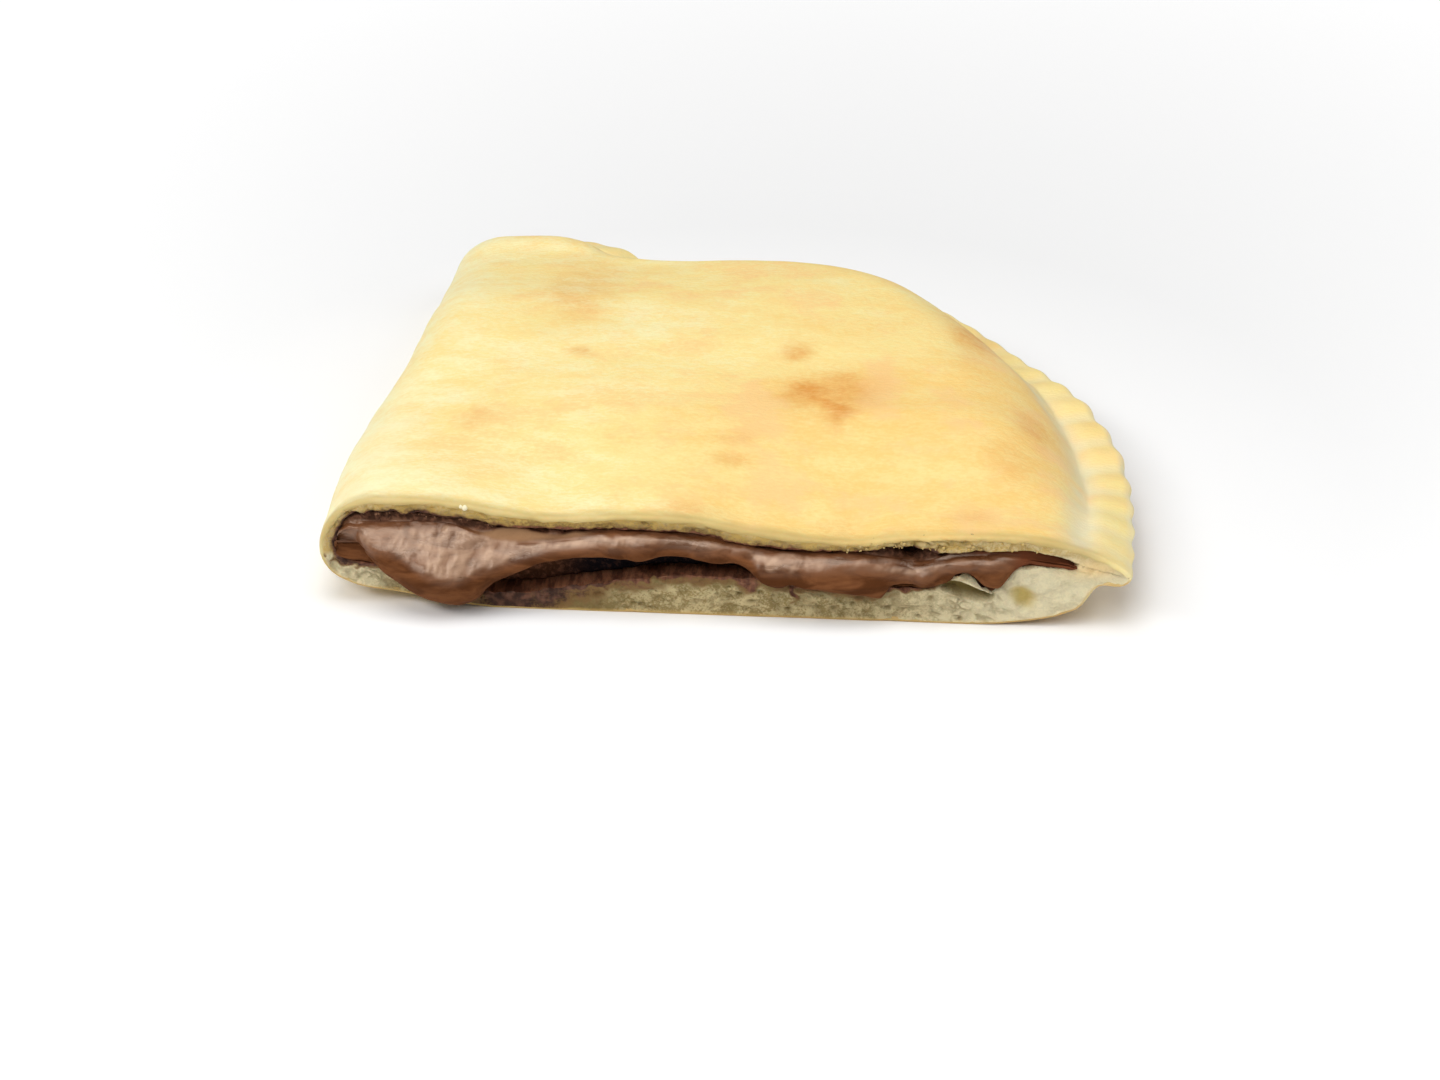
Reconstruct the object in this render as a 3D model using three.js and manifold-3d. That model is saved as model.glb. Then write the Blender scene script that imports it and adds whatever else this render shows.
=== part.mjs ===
// Half of a chocolate-filled folded pie: one sheet of pizza dough folded over a layer of chocolate spread,
// crimped along its round edge, baked and cut across. Millimetres, +Z up.
//
// While it is shaped, x runs along the cut from the fold (0) to the crimped rim, y runs back from the cut
// face (0) to the tip, and z is the height over the table. The finished group is then moved so that its
// origin is the middle of its footprint, on the table.
import * as THREE from "three";
import { mergeVertices } from "three/addons/utils/BufferGeometryUtils.js";
import Module from "manifold-3d";

// ---- driving dimensions ---------------------------------------------------------------------------------

// The rim is a superellipse round a point on the fold, a little behind the cut.
const RIM_REACH = 132; // from the fold to the rim
const RIM_BACK = 108; // from the middle of the rim's curve to the tip
const RIM_MIDDLE_Y = 20;
const RIM_POWER = 2.5;
const RIM_WANDER = 1.3; // the rim was rolled out by hand: it sways in and out by this much
const RIM_SWAYS = 2.2;
const CORNER_ROUND = 9; // at the back end of the fold
const FOLD_LINE = [[0, 0], [18, -1], [34, -0.8], [58, 2], [80, 3.4], [128, 4.6]]; // x along y
const FOLD_HEIGHT = 9.7; // of the fold's outermost line
const FOLD_ROUND_TOP = 10;
const FOLD_ROUND_BOTTOM = 9;

const CROWN_HEIGHT = 22.4; // the highest part of the puffed top
const FLANGE_HEIGHT = 9.5; // of the rim's outermost line
const FLANGE_TOP = 11;
const SHOULDER_WIDTH = { right: 24, back: 10 }; // from the flange up to the crown
const VALLEY_INSIDE = 8.5; // from the rim's edge to the valley pressed in between flange and shoulder
const FLANGE_DROP = 3.8; // at the back, where the rim hangs lower
const FLANGE_WAVE = 0.5;
const RIM_EDGE_ROUND = 1.6;
const EAR_RISE = 3.1; // the thick corner where the rim runs into the fold
const EAR_X = 24; // full up to here
const EAR_REACH = 16; // and gone this much further
const EAR_HALF_WIDTH = 9;

const CRIMPS = 24; // pressed with a finger, along the whole rim
const CRIMP_SCALLOP = 0.7; // in and out at the edge
const CRIMP_RELIEF = 0.9; // up and down on the flange
const CRIMP_DRIFT = 0.009; // unevenness of their spacing, as a share of the rim

// Along the rim, from 0 at the cut to 1 at the tip: the flange is narrow where the crown bulges out over it.
const FLANGE_WIDTH = [
  [0, 7.5], [0.15, 7.5], [0.24, 6], [0.33, 4.8], [0.42, 6], [0.6, 12.5], [0.72, 12], [0.84, 7.5], [1, 7],
];
const VALLEY_DEPTH = [
  [0, 1], [0.2, 1.1], [0.3, 0.3], [0.42, 0.2], [0.55, 0.9], [0.72, 0.8], [0.82, 0.1], [1, 0],
];
const CRIMP_STRENGTH = [
  [0, 0.5], [0.16, 0.55], [0.24, 0.5], [0.33, 0.25], [0.45, 0.3], [0.6, 0.8], [0.72, 0.8], [0.85, 0.6],
  [1, 0.4],
];

const SHEET_TOP = 3; // thickness of the dough over the filling
const SHEET_BOTTOM = 5.8; // and under it
const SEAL_WIDTH = { right: 9.2, back: 18 }; // of the dough pressed together along the rim
const POCKET_LEFT = 2.6; // from the fold's outside to the pocket
const BLEND_BACK = 38; // over this depth the cut's own outline passes into the general shape

const GAP = 0.35; // between dough and chocolate
const POCKET_OVERRUN = 6; // how far the pocket's tool stands out of the cut face

// Outline of the cut face, as heights along x.
const CUT_TOP = [
  [0, 19], [14, 19.4], [22, 19.1], [30, 17.8], [38, 17], [46, 17.5], [54, 17.8], [62, 17.3],
  [70, 15.8], [86, 14.3], [94, 15.5], [110, 16.1], [118, 15.5], [126, 13.1], [132, 9.6],
];
const CUT_BOTTOM = [[0, 3], [8, 2.9], [15, 2], [22, 0.7], [28, 0], [132, 0]];
const CUT_SHEET_TOP = [[0, 1.9], [14, 1.5], [30, 2.3], [86, 2.3], [102, 2.6], [112, 1.7], [132, 3]];
const CUT_FLOOR = [
  [0, 7.4], [10, 7.2], [20, 4.4], [29, 2.7], [43, 4.5], [57, 6.8], [70, 6.9], [84, 6.2], [95, 6.2],
  [100, 6.8], [103, 9], [105, 9.2], [108, 6.9], [110, 7], [112, 9.6], [115, 11.5], [123, 10.9],
];

// Underside of the rim, as heights over the table by distance in from the edge.
const RIM_UNDERSIDE = [[0, 8.3], [2, 7.8], [5.5, 7.6], [7.6, 4.2], [9, 3.1], [12, 1.9], [19, 0.5], [25, 0]];

// Chocolate that has run to the cut, as curves along x: the top and the lower edge of its free rope, and how
// far the rope stands out of the cut. It hangs in a big drip near the fold and in a thick roll further on.
const ROPE_TOP = [
  [2.6, 12.6], [5, 14.3], [9, 14.8], [13, 15], [19, 15.1], [22, 14.2], [24, 12.8], [26, 11.9], [31, 12.3],
  [37, 13.2], [41, 13.7], [45, 14.4], [50, 15.1], [53, 15.2], [58, 14.9], [62, 14.6], [66, 14.3], [69, 13.6],
  [74, 12.3], [80, 12.2], [86, 12], [89, 11.6], [93, 10.9], [97, 10.1], [101, 11.4], [105, 12.2], [110, 12.8],
  [113, 13.1], [117, 12.8], [122, 11.4],
];
const ROPE_LOW = [
  [2.6, 11.2], [6.8, 11], [8.4, 9], [9.6, 7.3], [12, 4.6], [14, 3.2], [17, 2], [20, 1.5], [23, 1.3],
  [25, 1.9], [27.4, 4.6], [29, 6], [31, 6.9], [34, 8.3], [37, 9.5], [40, 10.1], [44, 10.5], [48, 10.5],
  [52, 10.2], [56, 11.1], [59, 11.1], [62, 10.6], [65, 10.2], [68, 10.2], [69.6, 9.6], [73, 6.8], [75, 6.4],
  [80, 6.5], [85, 5.9], [88, 5.4], [91.2, 4.8], [93, 7], [96, 7.3], [100, 7.3], [103.4, 9.5], [105, 9.8],
  [108, 7.6], [110, 7.4], [112.4, 10.4], [114, 11.7], [117, 12.1], [122, 11.1],
];
const ROPE_OUT = [
  [2.6, -0.9], [5, -0.6], [6.4, -0.1], [7.4, 1.3], [9, 2.6], [12, 4.3], [16, 5.5], [20, 5.8], [24, 5.4],
  [27, 4.1], [30, 2.7], [34, 1.8], [40, 1.6], [46, 1.6], [53, 2], [57, 1.5], [64, 1.9], [67, 1.6],
  [72, 2.5], [78, 2.9], [84, 2.9], [88, 2.6], [91, 2.1], [93, 1.2], [95.5, 0.9], [97.6, 1.6], [101, 1.1],
  [104, 1], [107, 1.5], [109.5, 1.8], [111.5, 1.1], [113, 0.5], [116, -0.2], [122, -0.8],
];
const HOLLOW_DEPTH = 4.6; // under the rope
const CAVE_IN_SHEET = { at: 95.5, half: 3.2, high: 1.3 };

// Mesh steps.
const RIM_STEPS = CRIMPS * 4;
const PROFILE = { rim: 7, middle: 5, fold: 5 };
const STATIONS = 60;
const DEPTH_STEPS = [0.12, 0.3, 0.55, 0.8, 0.93, 0.985, 1];
const FRONT_DEPTHS = [0, 1.5, 4, 8];

// ---- helpers --------------------------------------------------------------------------------------------

const clamp01 = (v) => Math.min(1, Math.max(0, v));
const mix = (a, b, share) => a + (b - a) * share;
const ease = (from, to, v) => {
  const u = clamp01((v - from) / (to - from));
  return u * u * (3 - 2 * u);
};
// 0 at an edge, 1 from radius r inwards, along a quarter circle.
const roundOff = (inward, r) => Math.sqrt(Math.max(0, 1 - (1 - clamp01(inward / r)) ** 2));
const bump = (distance, half) => Math.exp(-((distance / half) ** 2));

// A smooth curve through the points, as a function: cubic Hermite pieces with the slope of the neighbours.
function through(points) {
  const last = points.length - 1;
  const slope = points.map((p, i) => {
    const [a, b] = [points[Math.max(0, i - 1)], points[Math.min(last, i + 1)]];
    return (b[1] - a[1]) / (b[0] - a[0]);
  });
  return (x) => {
    if (x <= points[0][0]) return points[0][1];
    if (x >= points[last][0]) return points[last][1];
    const i = points.findIndex((p) => p[0] > x) - 1;
    const [x0, y0] = points[i];
    const [x1, y1] = points[i + 1];
    const h = x1 - x0;
    const u = (x - x0) / h;
    return (
      y0 * (1 + 2 * u) * (1 - u) ** 2 + slope[i] * h * u * (1 - u) ** 2 +
      y1 * u * u * (3 - 2 * u) + slope[i + 1] * h * u * u * (u - 1)
    );
  };
}

const wasm = await Module();
wasm.setup();

function solidOf(geometry) {
  const merged = mergeVertices(geometry, 1e-4);
  return new wasm.Manifold(
    new wasm.Mesh({
      numProp: 3,
      vertProperties: merged.attributes.position.array,
      triVerts: new Uint32Array(merged.index.array),
    }),
  );
}

function geometryOf(solid) {
  const mesh = solid.getMesh();
  return new THREE.BufferGeometry()
    .setAttribute("position", new THREE.BufferAttribute(mesh.vertProperties, 3))
    .setIndex(new THREE.BufferAttribute(mesh.triVerts, 1));
}

// A closed body skinned over a row of rings with the same number of points. Each end is closed by a ladder
// between the ring's first and second half, so a ring that has its halves over each other stays flat there.
function skinOver(rings) {
  const count = rings[0].length;
  const faces = [];
  for (let r = 0; r + 1 < rings.length; r++) {
    for (let k = 0; k < count; k++) {
      const [a, b] = [r * count + k, r * count + ((k + 1) % count)];
      const [c, d] = [a + count, b + count];
      faces.push(a, c, b, b, c, d);
    }
  }
  const ladder = (base, turned) => {
    for (let k = 0; k < count / 2; k++) {
      const quad = [k, k + 1, count - k - 1, (count - k) % count].map((i) => base + i);
      for (const [p, q, s] of [[0, 1, 2], [0, 2, 3]]) {
        if (new Set([quad[p], quad[q], quad[s]]).size < 3) continue;
        faces.push(...(turned ? [quad[p], quad[s], quad[q]] : [quad[p], quad[q], quad[s]]));
      }
    }
  };
  ladder(0, false);
  ladder((rings.length - 1) * count, true);
  const positions = rings.flat().flatMap((point) => point.toArray());
  return new THREE.BufferGeometry()
    .setAttribute("position", new THREE.Float32BufferAttribute(positions, 3))
    .setIndex(faces);
}

// ---- plan: the rim, the fold and the lines between them -------------------------------------------------

const foldLine = through(FOLD_LINE);
const foldX = (y) => {
  const bend = Math.max(0, y - (RIM_MIDDLE_Y + RIM_BACK - CORNER_ROUND));
  return foldLine(y) + CORNER_ROUND - Math.sqrt(Math.max(0, CORNER_ROUND ** 2 - bend ** 2));
};

// The rim by the superellipse's angle, from the cut to the tip, with its sway in and out.
const HALF_POWER = RIM_POWER / 2;
const RIM_FROM = -Math.asin((RIM_MIDDLE_Y / RIM_BACK) ** HALF_POWER);
const RIM_TO = Math.acos((foldX(RIM_MIDDLE_Y + RIM_BACK) / RIM_REACH) ** HALF_POWER);
const rimScale = (angle) => {
  const share = (angle - RIM_FROM) / (RIM_TO - RIM_FROM);
  const sway = Math.cos(2 * Math.PI * RIM_SWAYS * (share - 0.14)) * ease(0, 0.1, share);
  return 1 + (RIM_WANDER * sway) / RIM_REACH;
};

class RimCurve extends THREE.Curve {
  getPoint(share) {
    const angle = mix(RIM_FROM, RIM_TO, share);
    const up = Math.sin(angle);
    const scale = rimScale(angle);
    return new THREE.Vector2(
      RIM_REACH * scale * Math.cos(angle) ** (1 / HALF_POWER),
      RIM_MIDDLE_Y + RIM_BACK * scale * Math.sign(up) * Math.abs(up) ** (1 / HALF_POWER),
    );
  }
}

// How far a point of the plan is inside the rim.
function insideRim(x, y) {
  const [u, v] = [Math.max(x, 0.1) / RIM_REACH, Math.abs(y - RIM_MIDDLE_Y) / RIM_BACK];
  const level = (u ** RIM_POWER + v ** RIM_POWER) ** (1 / RIM_POWER);
  const steepX = (u / level) ** (RIM_POWER - 1) / RIM_REACH;
  const steepY = (v / level) ** (RIM_POWER - 1) / RIM_BACK;
  const angle = Math.atan2(Math.sign(y - RIM_MIDDLE_Y) * v ** HALF_POWER, u ** HALF_POWER);
  return (rimScale(angle) - level) / Math.hypot(steepX, steepY);
}

// ---- heights --------------------------------------------------------------------------------------------

const cutTop = through(CUT_TOP);
const cutBottom = through(CUT_BOTTOM);
const cutSheetTop = through(CUT_SHEET_TOP);
const cutFloor = through(CUT_FLOOR);
const rimUnderside = through(RIM_UNDERSIDE);
const flangeWidth = through(FLANGE_WIDTH);
const valleyDepth = through(VALLEY_DEPTH);
const crimpStrength = through(CRIMP_STRENGTH);
const ropeTop = through(ROPE_TOP);
const ropeLow = through(ROPE_LOW);
const ropeOut = through(ROPE_OUT);

const intoBody = (y) => ease(0, BLEND_BACK, y);
// The crown sinks towards the fold and has the shallow unevenness of stretched dough.
const crown = (x, y) =>
  CROWN_HEIGHT - 3 * Math.exp(-x / 16) - 1.8 * ease(85, 35, y) - 3.2 * ease(72, 108, y) * ease(75, 38, x) +
  0.35 * Math.sin(x / 11 + 1) * Math.sin(y / 13 + 2);
const aroundRim = (x, y) => Math.atan2(y - RIM_MIDDLE_Y, x) / (Math.PI / 2);
const drop = (x, y, inward) => {
  const around = aroundRim(x, y);
  const wave = FLANGE_WAVE * Math.sin(22 * around) * ease(0, 25, y);
  return (wave + FLANGE_DROP * ease(0.48, 0.6, around) * ease(0.8, 0.72, around)) * ease(22, 9, inward);
};
const shoulder = (x, y, inward) => {
  const around = aroundRim(x, y);
  const width = mix(SHOULDER_WIDTH.right, SHOULDER_WIDTH.back, ease(0.1, 0.62, around));
  return 1 - (1 - clamp01((inward - flangeWidth(around)) / width)) ** 2.4;
};
const ear = (x, inward) =>
  EAR_RISE * Math.exp(-(Math.max(0, (x - EAR_X) / EAR_REACH) ** 3)) * bump(inward - 6, EAR_HALF_WIDTH);
const puffed = (x, y) => {
  const inward = insideRim(x, y);
  return mix(FLANGE_TOP, crown(x, y), shoulder(x, y, inward)) - drop(x, y, inward);
};

// Outer surface over and under a point, before its edges are rounded off. crimp runs from -1 to 1.
function outerTop(x, y, inward, crimp) {
  const lobe = CRIMP_RELIEF * crimp * bump(inward - 3.5, 4);
  const valley = valleyDepth(aroundRim(x, y)) * bump(inward - VALLEY_INSIDE, 2.5);
  const general = mix(FLANGE_TOP, crown(x, y), shoulder(x, y, inward)) + (y > 60 ? ear(x, inward) : 0);
  return mix(cutTop(x), general, intoBody(y)) + (lobe - valley) * ease(0, 8, y) - drop(x, y, inward);
}
function outerBottom(x, y, inward, crimp) {
  const pressed = 0.3 * CRIMP_RELIEF * crimp * bump(inward - 3, 3) * ease(0, 8, y);
  return Math.max(0, cutBottom(x), rimUnderside(inward) - pressed - drop(x, y, inward));
}

// ---- dough ----------------------------------------------------------------------------------------------

// Distances in from the rim along a line of the given length, close together in the flange and at the fold.
function stepsInward(length) {
  const scale = Math.min(1, length / 62);
  const [rimZone, foldZone] = [27 * scale, 16 * scale];
  const steps = [];
  for (let i = 0; i < PROFILE.rim; i++) steps.push(rimZone * (i / PROFILE.rim) ** 1.35);
  for (let i = 0; i < PROFILE.middle; i++) steps.push(mix(rimZone, length - foldZone, i / PROFILE.middle));
  for (let i = 0; i <= PROFILE.fold; i++) steps.push(length - foldZone * (1 - i / PROFILE.fold) ** 1.8);
  return steps;
}

// One ring of the dough's outside: over the top from the rim to the fold, and back underneath.
function doughRing(rim, share) {
  const edge = rim.getPointAt(share);
  const along = rim.getTangentAt(share);
  const inwards = new THREE.Vector2(-along.y, along.x * ease(0, 0.1, share)).normalize();
  const strength = crimpStrength(aroundRim(edge.x, edge.y));
  const crimp = strength * Math.cos(2 * Math.PI * CRIMPS * (share + CRIMP_DRIFT * Math.sin(14 * share)));
  const scallop = CRIMP_SCALLOP * crimp * ease(0, 0.04, share) * ease(1, 0.97, share);
  const bend = 42 * (1 - share ** 3);
  const middle = edge.clone().addScaledVector(inwards, bend);
  const fold = new THREE.Vector2(foldX(middle.y), middle.y);
  edge.addScaledVector(inwards, -scallop);
  const line = new THREE.QuadraticBezierCurve(edge, middle.clone().lerp(fold, 0.25), fold);
  const length = line.getLength();
  const [top, bottom] = [[], []];
  for (const step of stepsInward(length)) {
    const { x, y } = line.getPointAt(Math.min(1, step / length));
    const near = Math.max(0, insideRim(x, y));
    const fromFold = length - step;
    const rest = mix(FLANGE_HEIGHT, FOLD_HEIGHT, step / length) - drop(x, y, near);
    const soft = roundOff(step, RIM_EDGE_ROUND);
    const high = outerTop(x, y, near, crimp) - rest;
    const low = rest - outerBottom(x, y, near, crimp);
    top.push(new THREE.Vector3(x, y, rest + high * soft * roundOff(fromFold, FOLD_ROUND_TOP)));
    bottom.push(new THREE.Vector3(x, y, rest - low * soft * roundOff(fromFold, FOLD_ROUND_BOTTOM)));
  }
  return [...top, ...bottom.slice(1, -1).reverse()];
}

function outside() {
  const rim = new RimCurve();
  rim.arcLengthDivisions = 2000;
  const rings = [];
  for (let i = 0; i < RIM_STEPS; i++) rings.push(doughRing(rim, i / RIM_STEPS));
  rings.push(doughRing(rim, 0.996));
  return skinOver(rings);
}

// ---- pocket and filling ---------------------------------------------------------------------------------

const pocketRight = RIM_REACH - SEAL_WIDTH.right;

// The pocket's plan is a grid: stations along the cut, and steps back from it. The filling has the same grid
// without its outermost stations and its last step, so that the two stay clear of each other.
const stationX = (station) => {
  const share = station / STATIONS;
  return mix(POCKET_LEFT, pocketRight, mix(share, 0.5 - 0.5 * Math.cos(Math.PI * share), 0.5));
};
const pocketBack = (x) => {
  const share = x / (pocketRight + 0.5);
  return RIM_MIDDLE_Y + (RIM_BACK - SEAL_WIDTH.back) * (1 - share ** RIM_POWER) ** (1 / RIM_POWER);
};
const depthsAt = (x) => {
  const start = FRONT_DEPTHS[FRONT_DEPTHS.length - 1];
  return [...FRONT_DEPTHS, ...DEPTH_STEPS.map((share) => mix(start, pocketBack(x), share))];
};

// The pocket's ceiling or floor (side 1 or -1). Its ends come together in a round edge at middle height.
function pocketPoint(x, y, side, clear = 0) {
  const middle = mix(9.3, 11.3, ease(20, 120, x));
  const share = intoBody(y);
  const ceiling = mix(cutTop(x) - cutSheetTop(x), puffed(x, y) - SHEET_TOP, share);
  const floor = mix(cutFloor(x), cutBottom(x) + SHEET_BOTTOM, share);
  const cave = CAVE_IN_SHEET.high * bump(x - CAVE_IN_SHEET.at, CAVE_IN_SHEET.half) * ease(7, 2, y);
  const to = side > 0 ? Math.max(ceiling, middle + 0.6) + cave : Math.min(floor, middle - 0.4);
  const close = roundOff(x - POCKET_LEFT, 5) * roundOff(pocketRight - x, 5) * roundOff(pocketBack(x) - y, 9);
  const leaning = x + foldLine(y) * (1 - x / pocketRight);
  return new THREE.Vector3(leaning, y, mix(middle, to, close) + side * (0.05 - clear));
}

function pocket() {
  const rings = [];
  for (let station = 0; station <= STATIONS; station++) {
    const x = stationX(station);
    const ring = [];
    for (const side of [1, -1]) {
      const edge = depthsAt(x).map((y) => pocketPoint(x, y, side));
      edge.unshift(new THREE.Vector3(edge[0].x, -POCKET_OVERRUN, edge[0].z));
      ring.push(...(side > 0 ? edge : edge.reverse()));
    }
    rings.push(ring);
  }
  return skinOver(rings);
}

// The chocolate's outline at one station: back along its underside, forwards over its top and down its free
// face, with the hollow under the rope.
function fillingRing(station) {
  const x = stationX(station);
  const clear = GAP + 0.05;
  const ceiling = pocketPoint(x, 0, 1, clear).z;
  const floor = pocketPoint(x, 0, -1, clear).z;
  const top = Math.min(ceiling - 0.1, ropeTop(x));
  const low = Math.min(ropeLow(x), top - 0.4);
  const out = ropeOut(x);
  const open = ease(-1, 0.6, out);
  const hangs = ease(-0.6, 0.8, floor - low);
  const leaves = ease(-2.6, -0.4, floor - low);
  const tall = top - low;
  const cave = mix(HOLLOW_DEPTH, 1, Math.max(leaves, 1 - open));
  const face = [
    [mix(cave, 1.2, leaves), floor],
    [mix(0.5 * cave, -GAP, leaves), mix(mix(low, floor, 0.25), floor, hangs)],
    [mix(0.15 * cave, -GAP, leaves), mix(low, floor, 0.2 * hangs)],
    [-0.45 * out, low],
    [-0.86 * out, top - 0.9 * tall],
    [-out, top - 0.71 * tall],
    [-0.92 * out, top - 0.51 * tall],
    [-0.66 * out, top - 0.31 * tall],
    [-0.3 * out, top - 0.12 * tall],
    [mix(1, 0.5, open), top],
  ];
  const depths = depthsAt(x).slice(FRONT_DEPTHS.length - 1, -1);
  depths[depths.length - 1] -= GAP;
  const endwards = station === 1 ? GAP : station === STATIONS - 1 ? -GAP : 0;
  const [over, under] = [[], []];
  for (const y of depths) {
    const roof = pocketPoint(x, y, 1, clear);
    const ground = pocketPoint(x, y, -1, clear);
    roof.z = Math.max(roof.z - 0.5 * (ceiling - top) * ease(14, 6, y), mix(ground.z, roof.z, 0.4));
    over.push(roof);
    under.unshift(ground);
  }
  const front = face.map(([y, z]) => new THREE.Vector3(x, y, z));
  return [...under, ...front, ...over].map((point) => point.setX(point.x + endwards));
}

function filling() {
  const rings = [];
  for (let station = 1; station < STATIONS; station++) rings.push(fillingRing(station));
  return skinOver(rings);
}

// ---- the pieces -----------------------------------------------------------------------------------------

const dough = new THREE.Mesh(
  geometryOf(solidOf(outside()).subtract(solidOf(pocket()))),
  new THREE.MeshStandardMaterial({ color: 0xf0cf8c, roughness: 0.75, metalness: 0 }),
);
dough.name = "dough";

const chocolate = new THREE.Mesh(
  filling(),
  new THREE.MeshStandardMaterial({ color: 0x5a3623, roughness: 0.4, metalness: 0 }),
);
chocolate.name = "chocolate_filling";

const shape = new THREE.Group();
shape.add(dough, chocolate);
const box = new THREE.Box3().setFromObject(shape);
shape.position.set(-(box.min.x + box.max.x) / 2, -(box.min.y + box.max.y) / 2, -box.min.z);

const pie = new THREE.Group();
pie.add(shape);
export default pie;
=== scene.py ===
import bmesh
import bpy
import numpy as np
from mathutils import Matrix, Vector


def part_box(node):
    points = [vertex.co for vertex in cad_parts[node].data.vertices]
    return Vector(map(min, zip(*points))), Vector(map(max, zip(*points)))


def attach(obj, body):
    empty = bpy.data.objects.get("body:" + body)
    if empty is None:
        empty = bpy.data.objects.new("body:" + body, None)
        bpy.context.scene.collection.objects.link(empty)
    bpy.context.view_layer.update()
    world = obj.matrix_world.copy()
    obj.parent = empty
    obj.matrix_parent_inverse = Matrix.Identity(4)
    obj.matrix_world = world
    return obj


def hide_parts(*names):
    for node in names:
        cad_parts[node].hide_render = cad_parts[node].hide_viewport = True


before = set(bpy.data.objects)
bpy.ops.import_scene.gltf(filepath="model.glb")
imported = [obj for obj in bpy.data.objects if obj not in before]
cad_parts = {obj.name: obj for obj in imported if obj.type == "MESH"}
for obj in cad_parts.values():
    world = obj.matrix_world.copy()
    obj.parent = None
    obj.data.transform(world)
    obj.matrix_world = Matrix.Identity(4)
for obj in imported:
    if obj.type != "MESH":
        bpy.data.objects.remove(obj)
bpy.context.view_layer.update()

# ---- camera ---------------------------------------------------------------------------------------------
# The photograph looks down on the cut face from a little above the table, with a short telephoto lens. Sizes
# are in millimetres: x along the cut from the fold to the rim, y back from the cut face, z up from the table.
MM = 0.001
FOLD_OVERHANG = 1.1  # the fold bulges this far past x = 0, which is its end of the cut
LENS = 65
SENSOR = 36
CAMERA_ELEVATION = 28.5
CAMERA_AZIMUTH = 4
CAMERA_DISTANCE = 461.8
LOOKED_AT = (62.5, 40, -7.75)

cut_origin = np.array(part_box("dough")[0]) + np.array([FOLD_OVERHANG * MM, 0, 0])


def to_frame(points):
    """Millimetres from the fold's end of the cut, as metres in the frame: scaled, then moved there."""
    return np.asarray(points, float) * MM + cut_origin


def aim(thing, azimuth, elevation, distance, target):
    """Places a camera or lamp at a distance from the target, by its angles round and over it, facing it."""
    turn, rise = np.radians(azimuth), np.radians(elevation)
    back = Vector((np.sin(turn) * np.cos(rise), -np.cos(turn) * np.cos(rise), np.sin(rise)))
    thing.location = Vector(to_frame(target)) + back * distance * MM
    thing.rotation_mode = "QUATERNION"
    thing.rotation_quaternion = (-back).to_track_quat("-Z", "Y")
    bpy.context.scene.collection.objects.link(thing)


camera = bpy.data.objects.new("camera", bpy.data.cameras.new("camera"))
camera.data.lens = LENS
camera.data.sensor_width = SENSOR
camera.data.clip_start = 0.01
aim(camera, CAMERA_AZIMUTH, CAMERA_ELEVATION, CAMERA_DISTANCE, LOOKED_AT)
bpy.context.scene.camera = camera

# ---- light and floor ------------------------------------------------------------------------------------
# A plain white table top in a bright studio: one wide soft lamp overhead, a long one like a row of windows
# to the left and in front, a weak one to the right, and white walls all round. Further off, the white ground
# glows a little of its own.
FLOOR_HALF = 1500
FLOOR_COLOUR = (0.96, 0.96, 0.96, 1)
GROUND_GLOW = 0.55
GLOW_FROM = 0.11  # metres from the middle of the ground
GLOW_FULL = 0.45
WALL_GLOW = 0.2
OVERHEAD = {"azimuth": -30, "elevation": 80, "distance": 700, "wide": 520, "high": 520, "power": 2.75}
WINDOW = {"azimuth": -38, "elevation": 43, "distance": 720, "wide": 760, "high": 180, "power": 2.6}
FILL = {"azimuth": 75, "elevation": 42, "distance": 720, "wide": 420, "high": 420, "power": 0.95}

bpy.context.scene.view_settings.view_transform = "Standard"


def add_node(tree, kind, inputs=(), **settings):
    """A node of that kind. inputs are (name or number, value or socket to link), settings its own fields."""
    made = tree.nodes.new(kind)
    for name, value in settings.items():
        setattr(made, name, value)
    for name, value in dict(inputs).items():
        if isinstance(value, bpy.types.NodeSocket):
            tree.links.new(value, made.inputs[name])
        else:
            made.inputs[name].default_value = value
    return made


world = bpy.data.worlds.new("studio")
bpy.context.scene.world = world
world.use_nodes = True
walls = world.node_tree
walls.nodes.clear()
lit = add_node(walls, "ShaderNodeBackground", {"Color": (1, 1, 1, 1), "Strength": WALL_GLOW})
seen = add_node(walls, "ShaderNodeBackground", {"Color": (1, 1, 1, 1), "Strength": 1.0})
path = add_node(walls, "ShaderNodeLightPath")
both = add_node(walls, "ShaderNodeMixShader",
                {0: path.outputs["Is Camera Ray"], 1: lit.outputs[0], 2: seen.outputs[0]})
add_node(walls, "ShaderNodeOutputWorld", {"Surface": both.outputs[0]})


def softbox(name, azimuth, elevation, distance, wide, high, power):
    """A rectangular soft lamp aimed at the middle of the pie."""
    lamp = bpy.data.lights.new(name, "AREA")
    lamp.shape = "RECTANGLE"
    lamp.size = wide * MM
    lamp.size_y = high * MM
    lamp.energy = power
    aim(bpy.data.objects.new(name, lamp), azimuth, elevation, distance, LOOKED_AT)


softbox("overhead_lamp", **OVERHEAD)
softbox("window_lamp", **WINDOW)
softbox("fill_lamp", **FILL)

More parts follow.
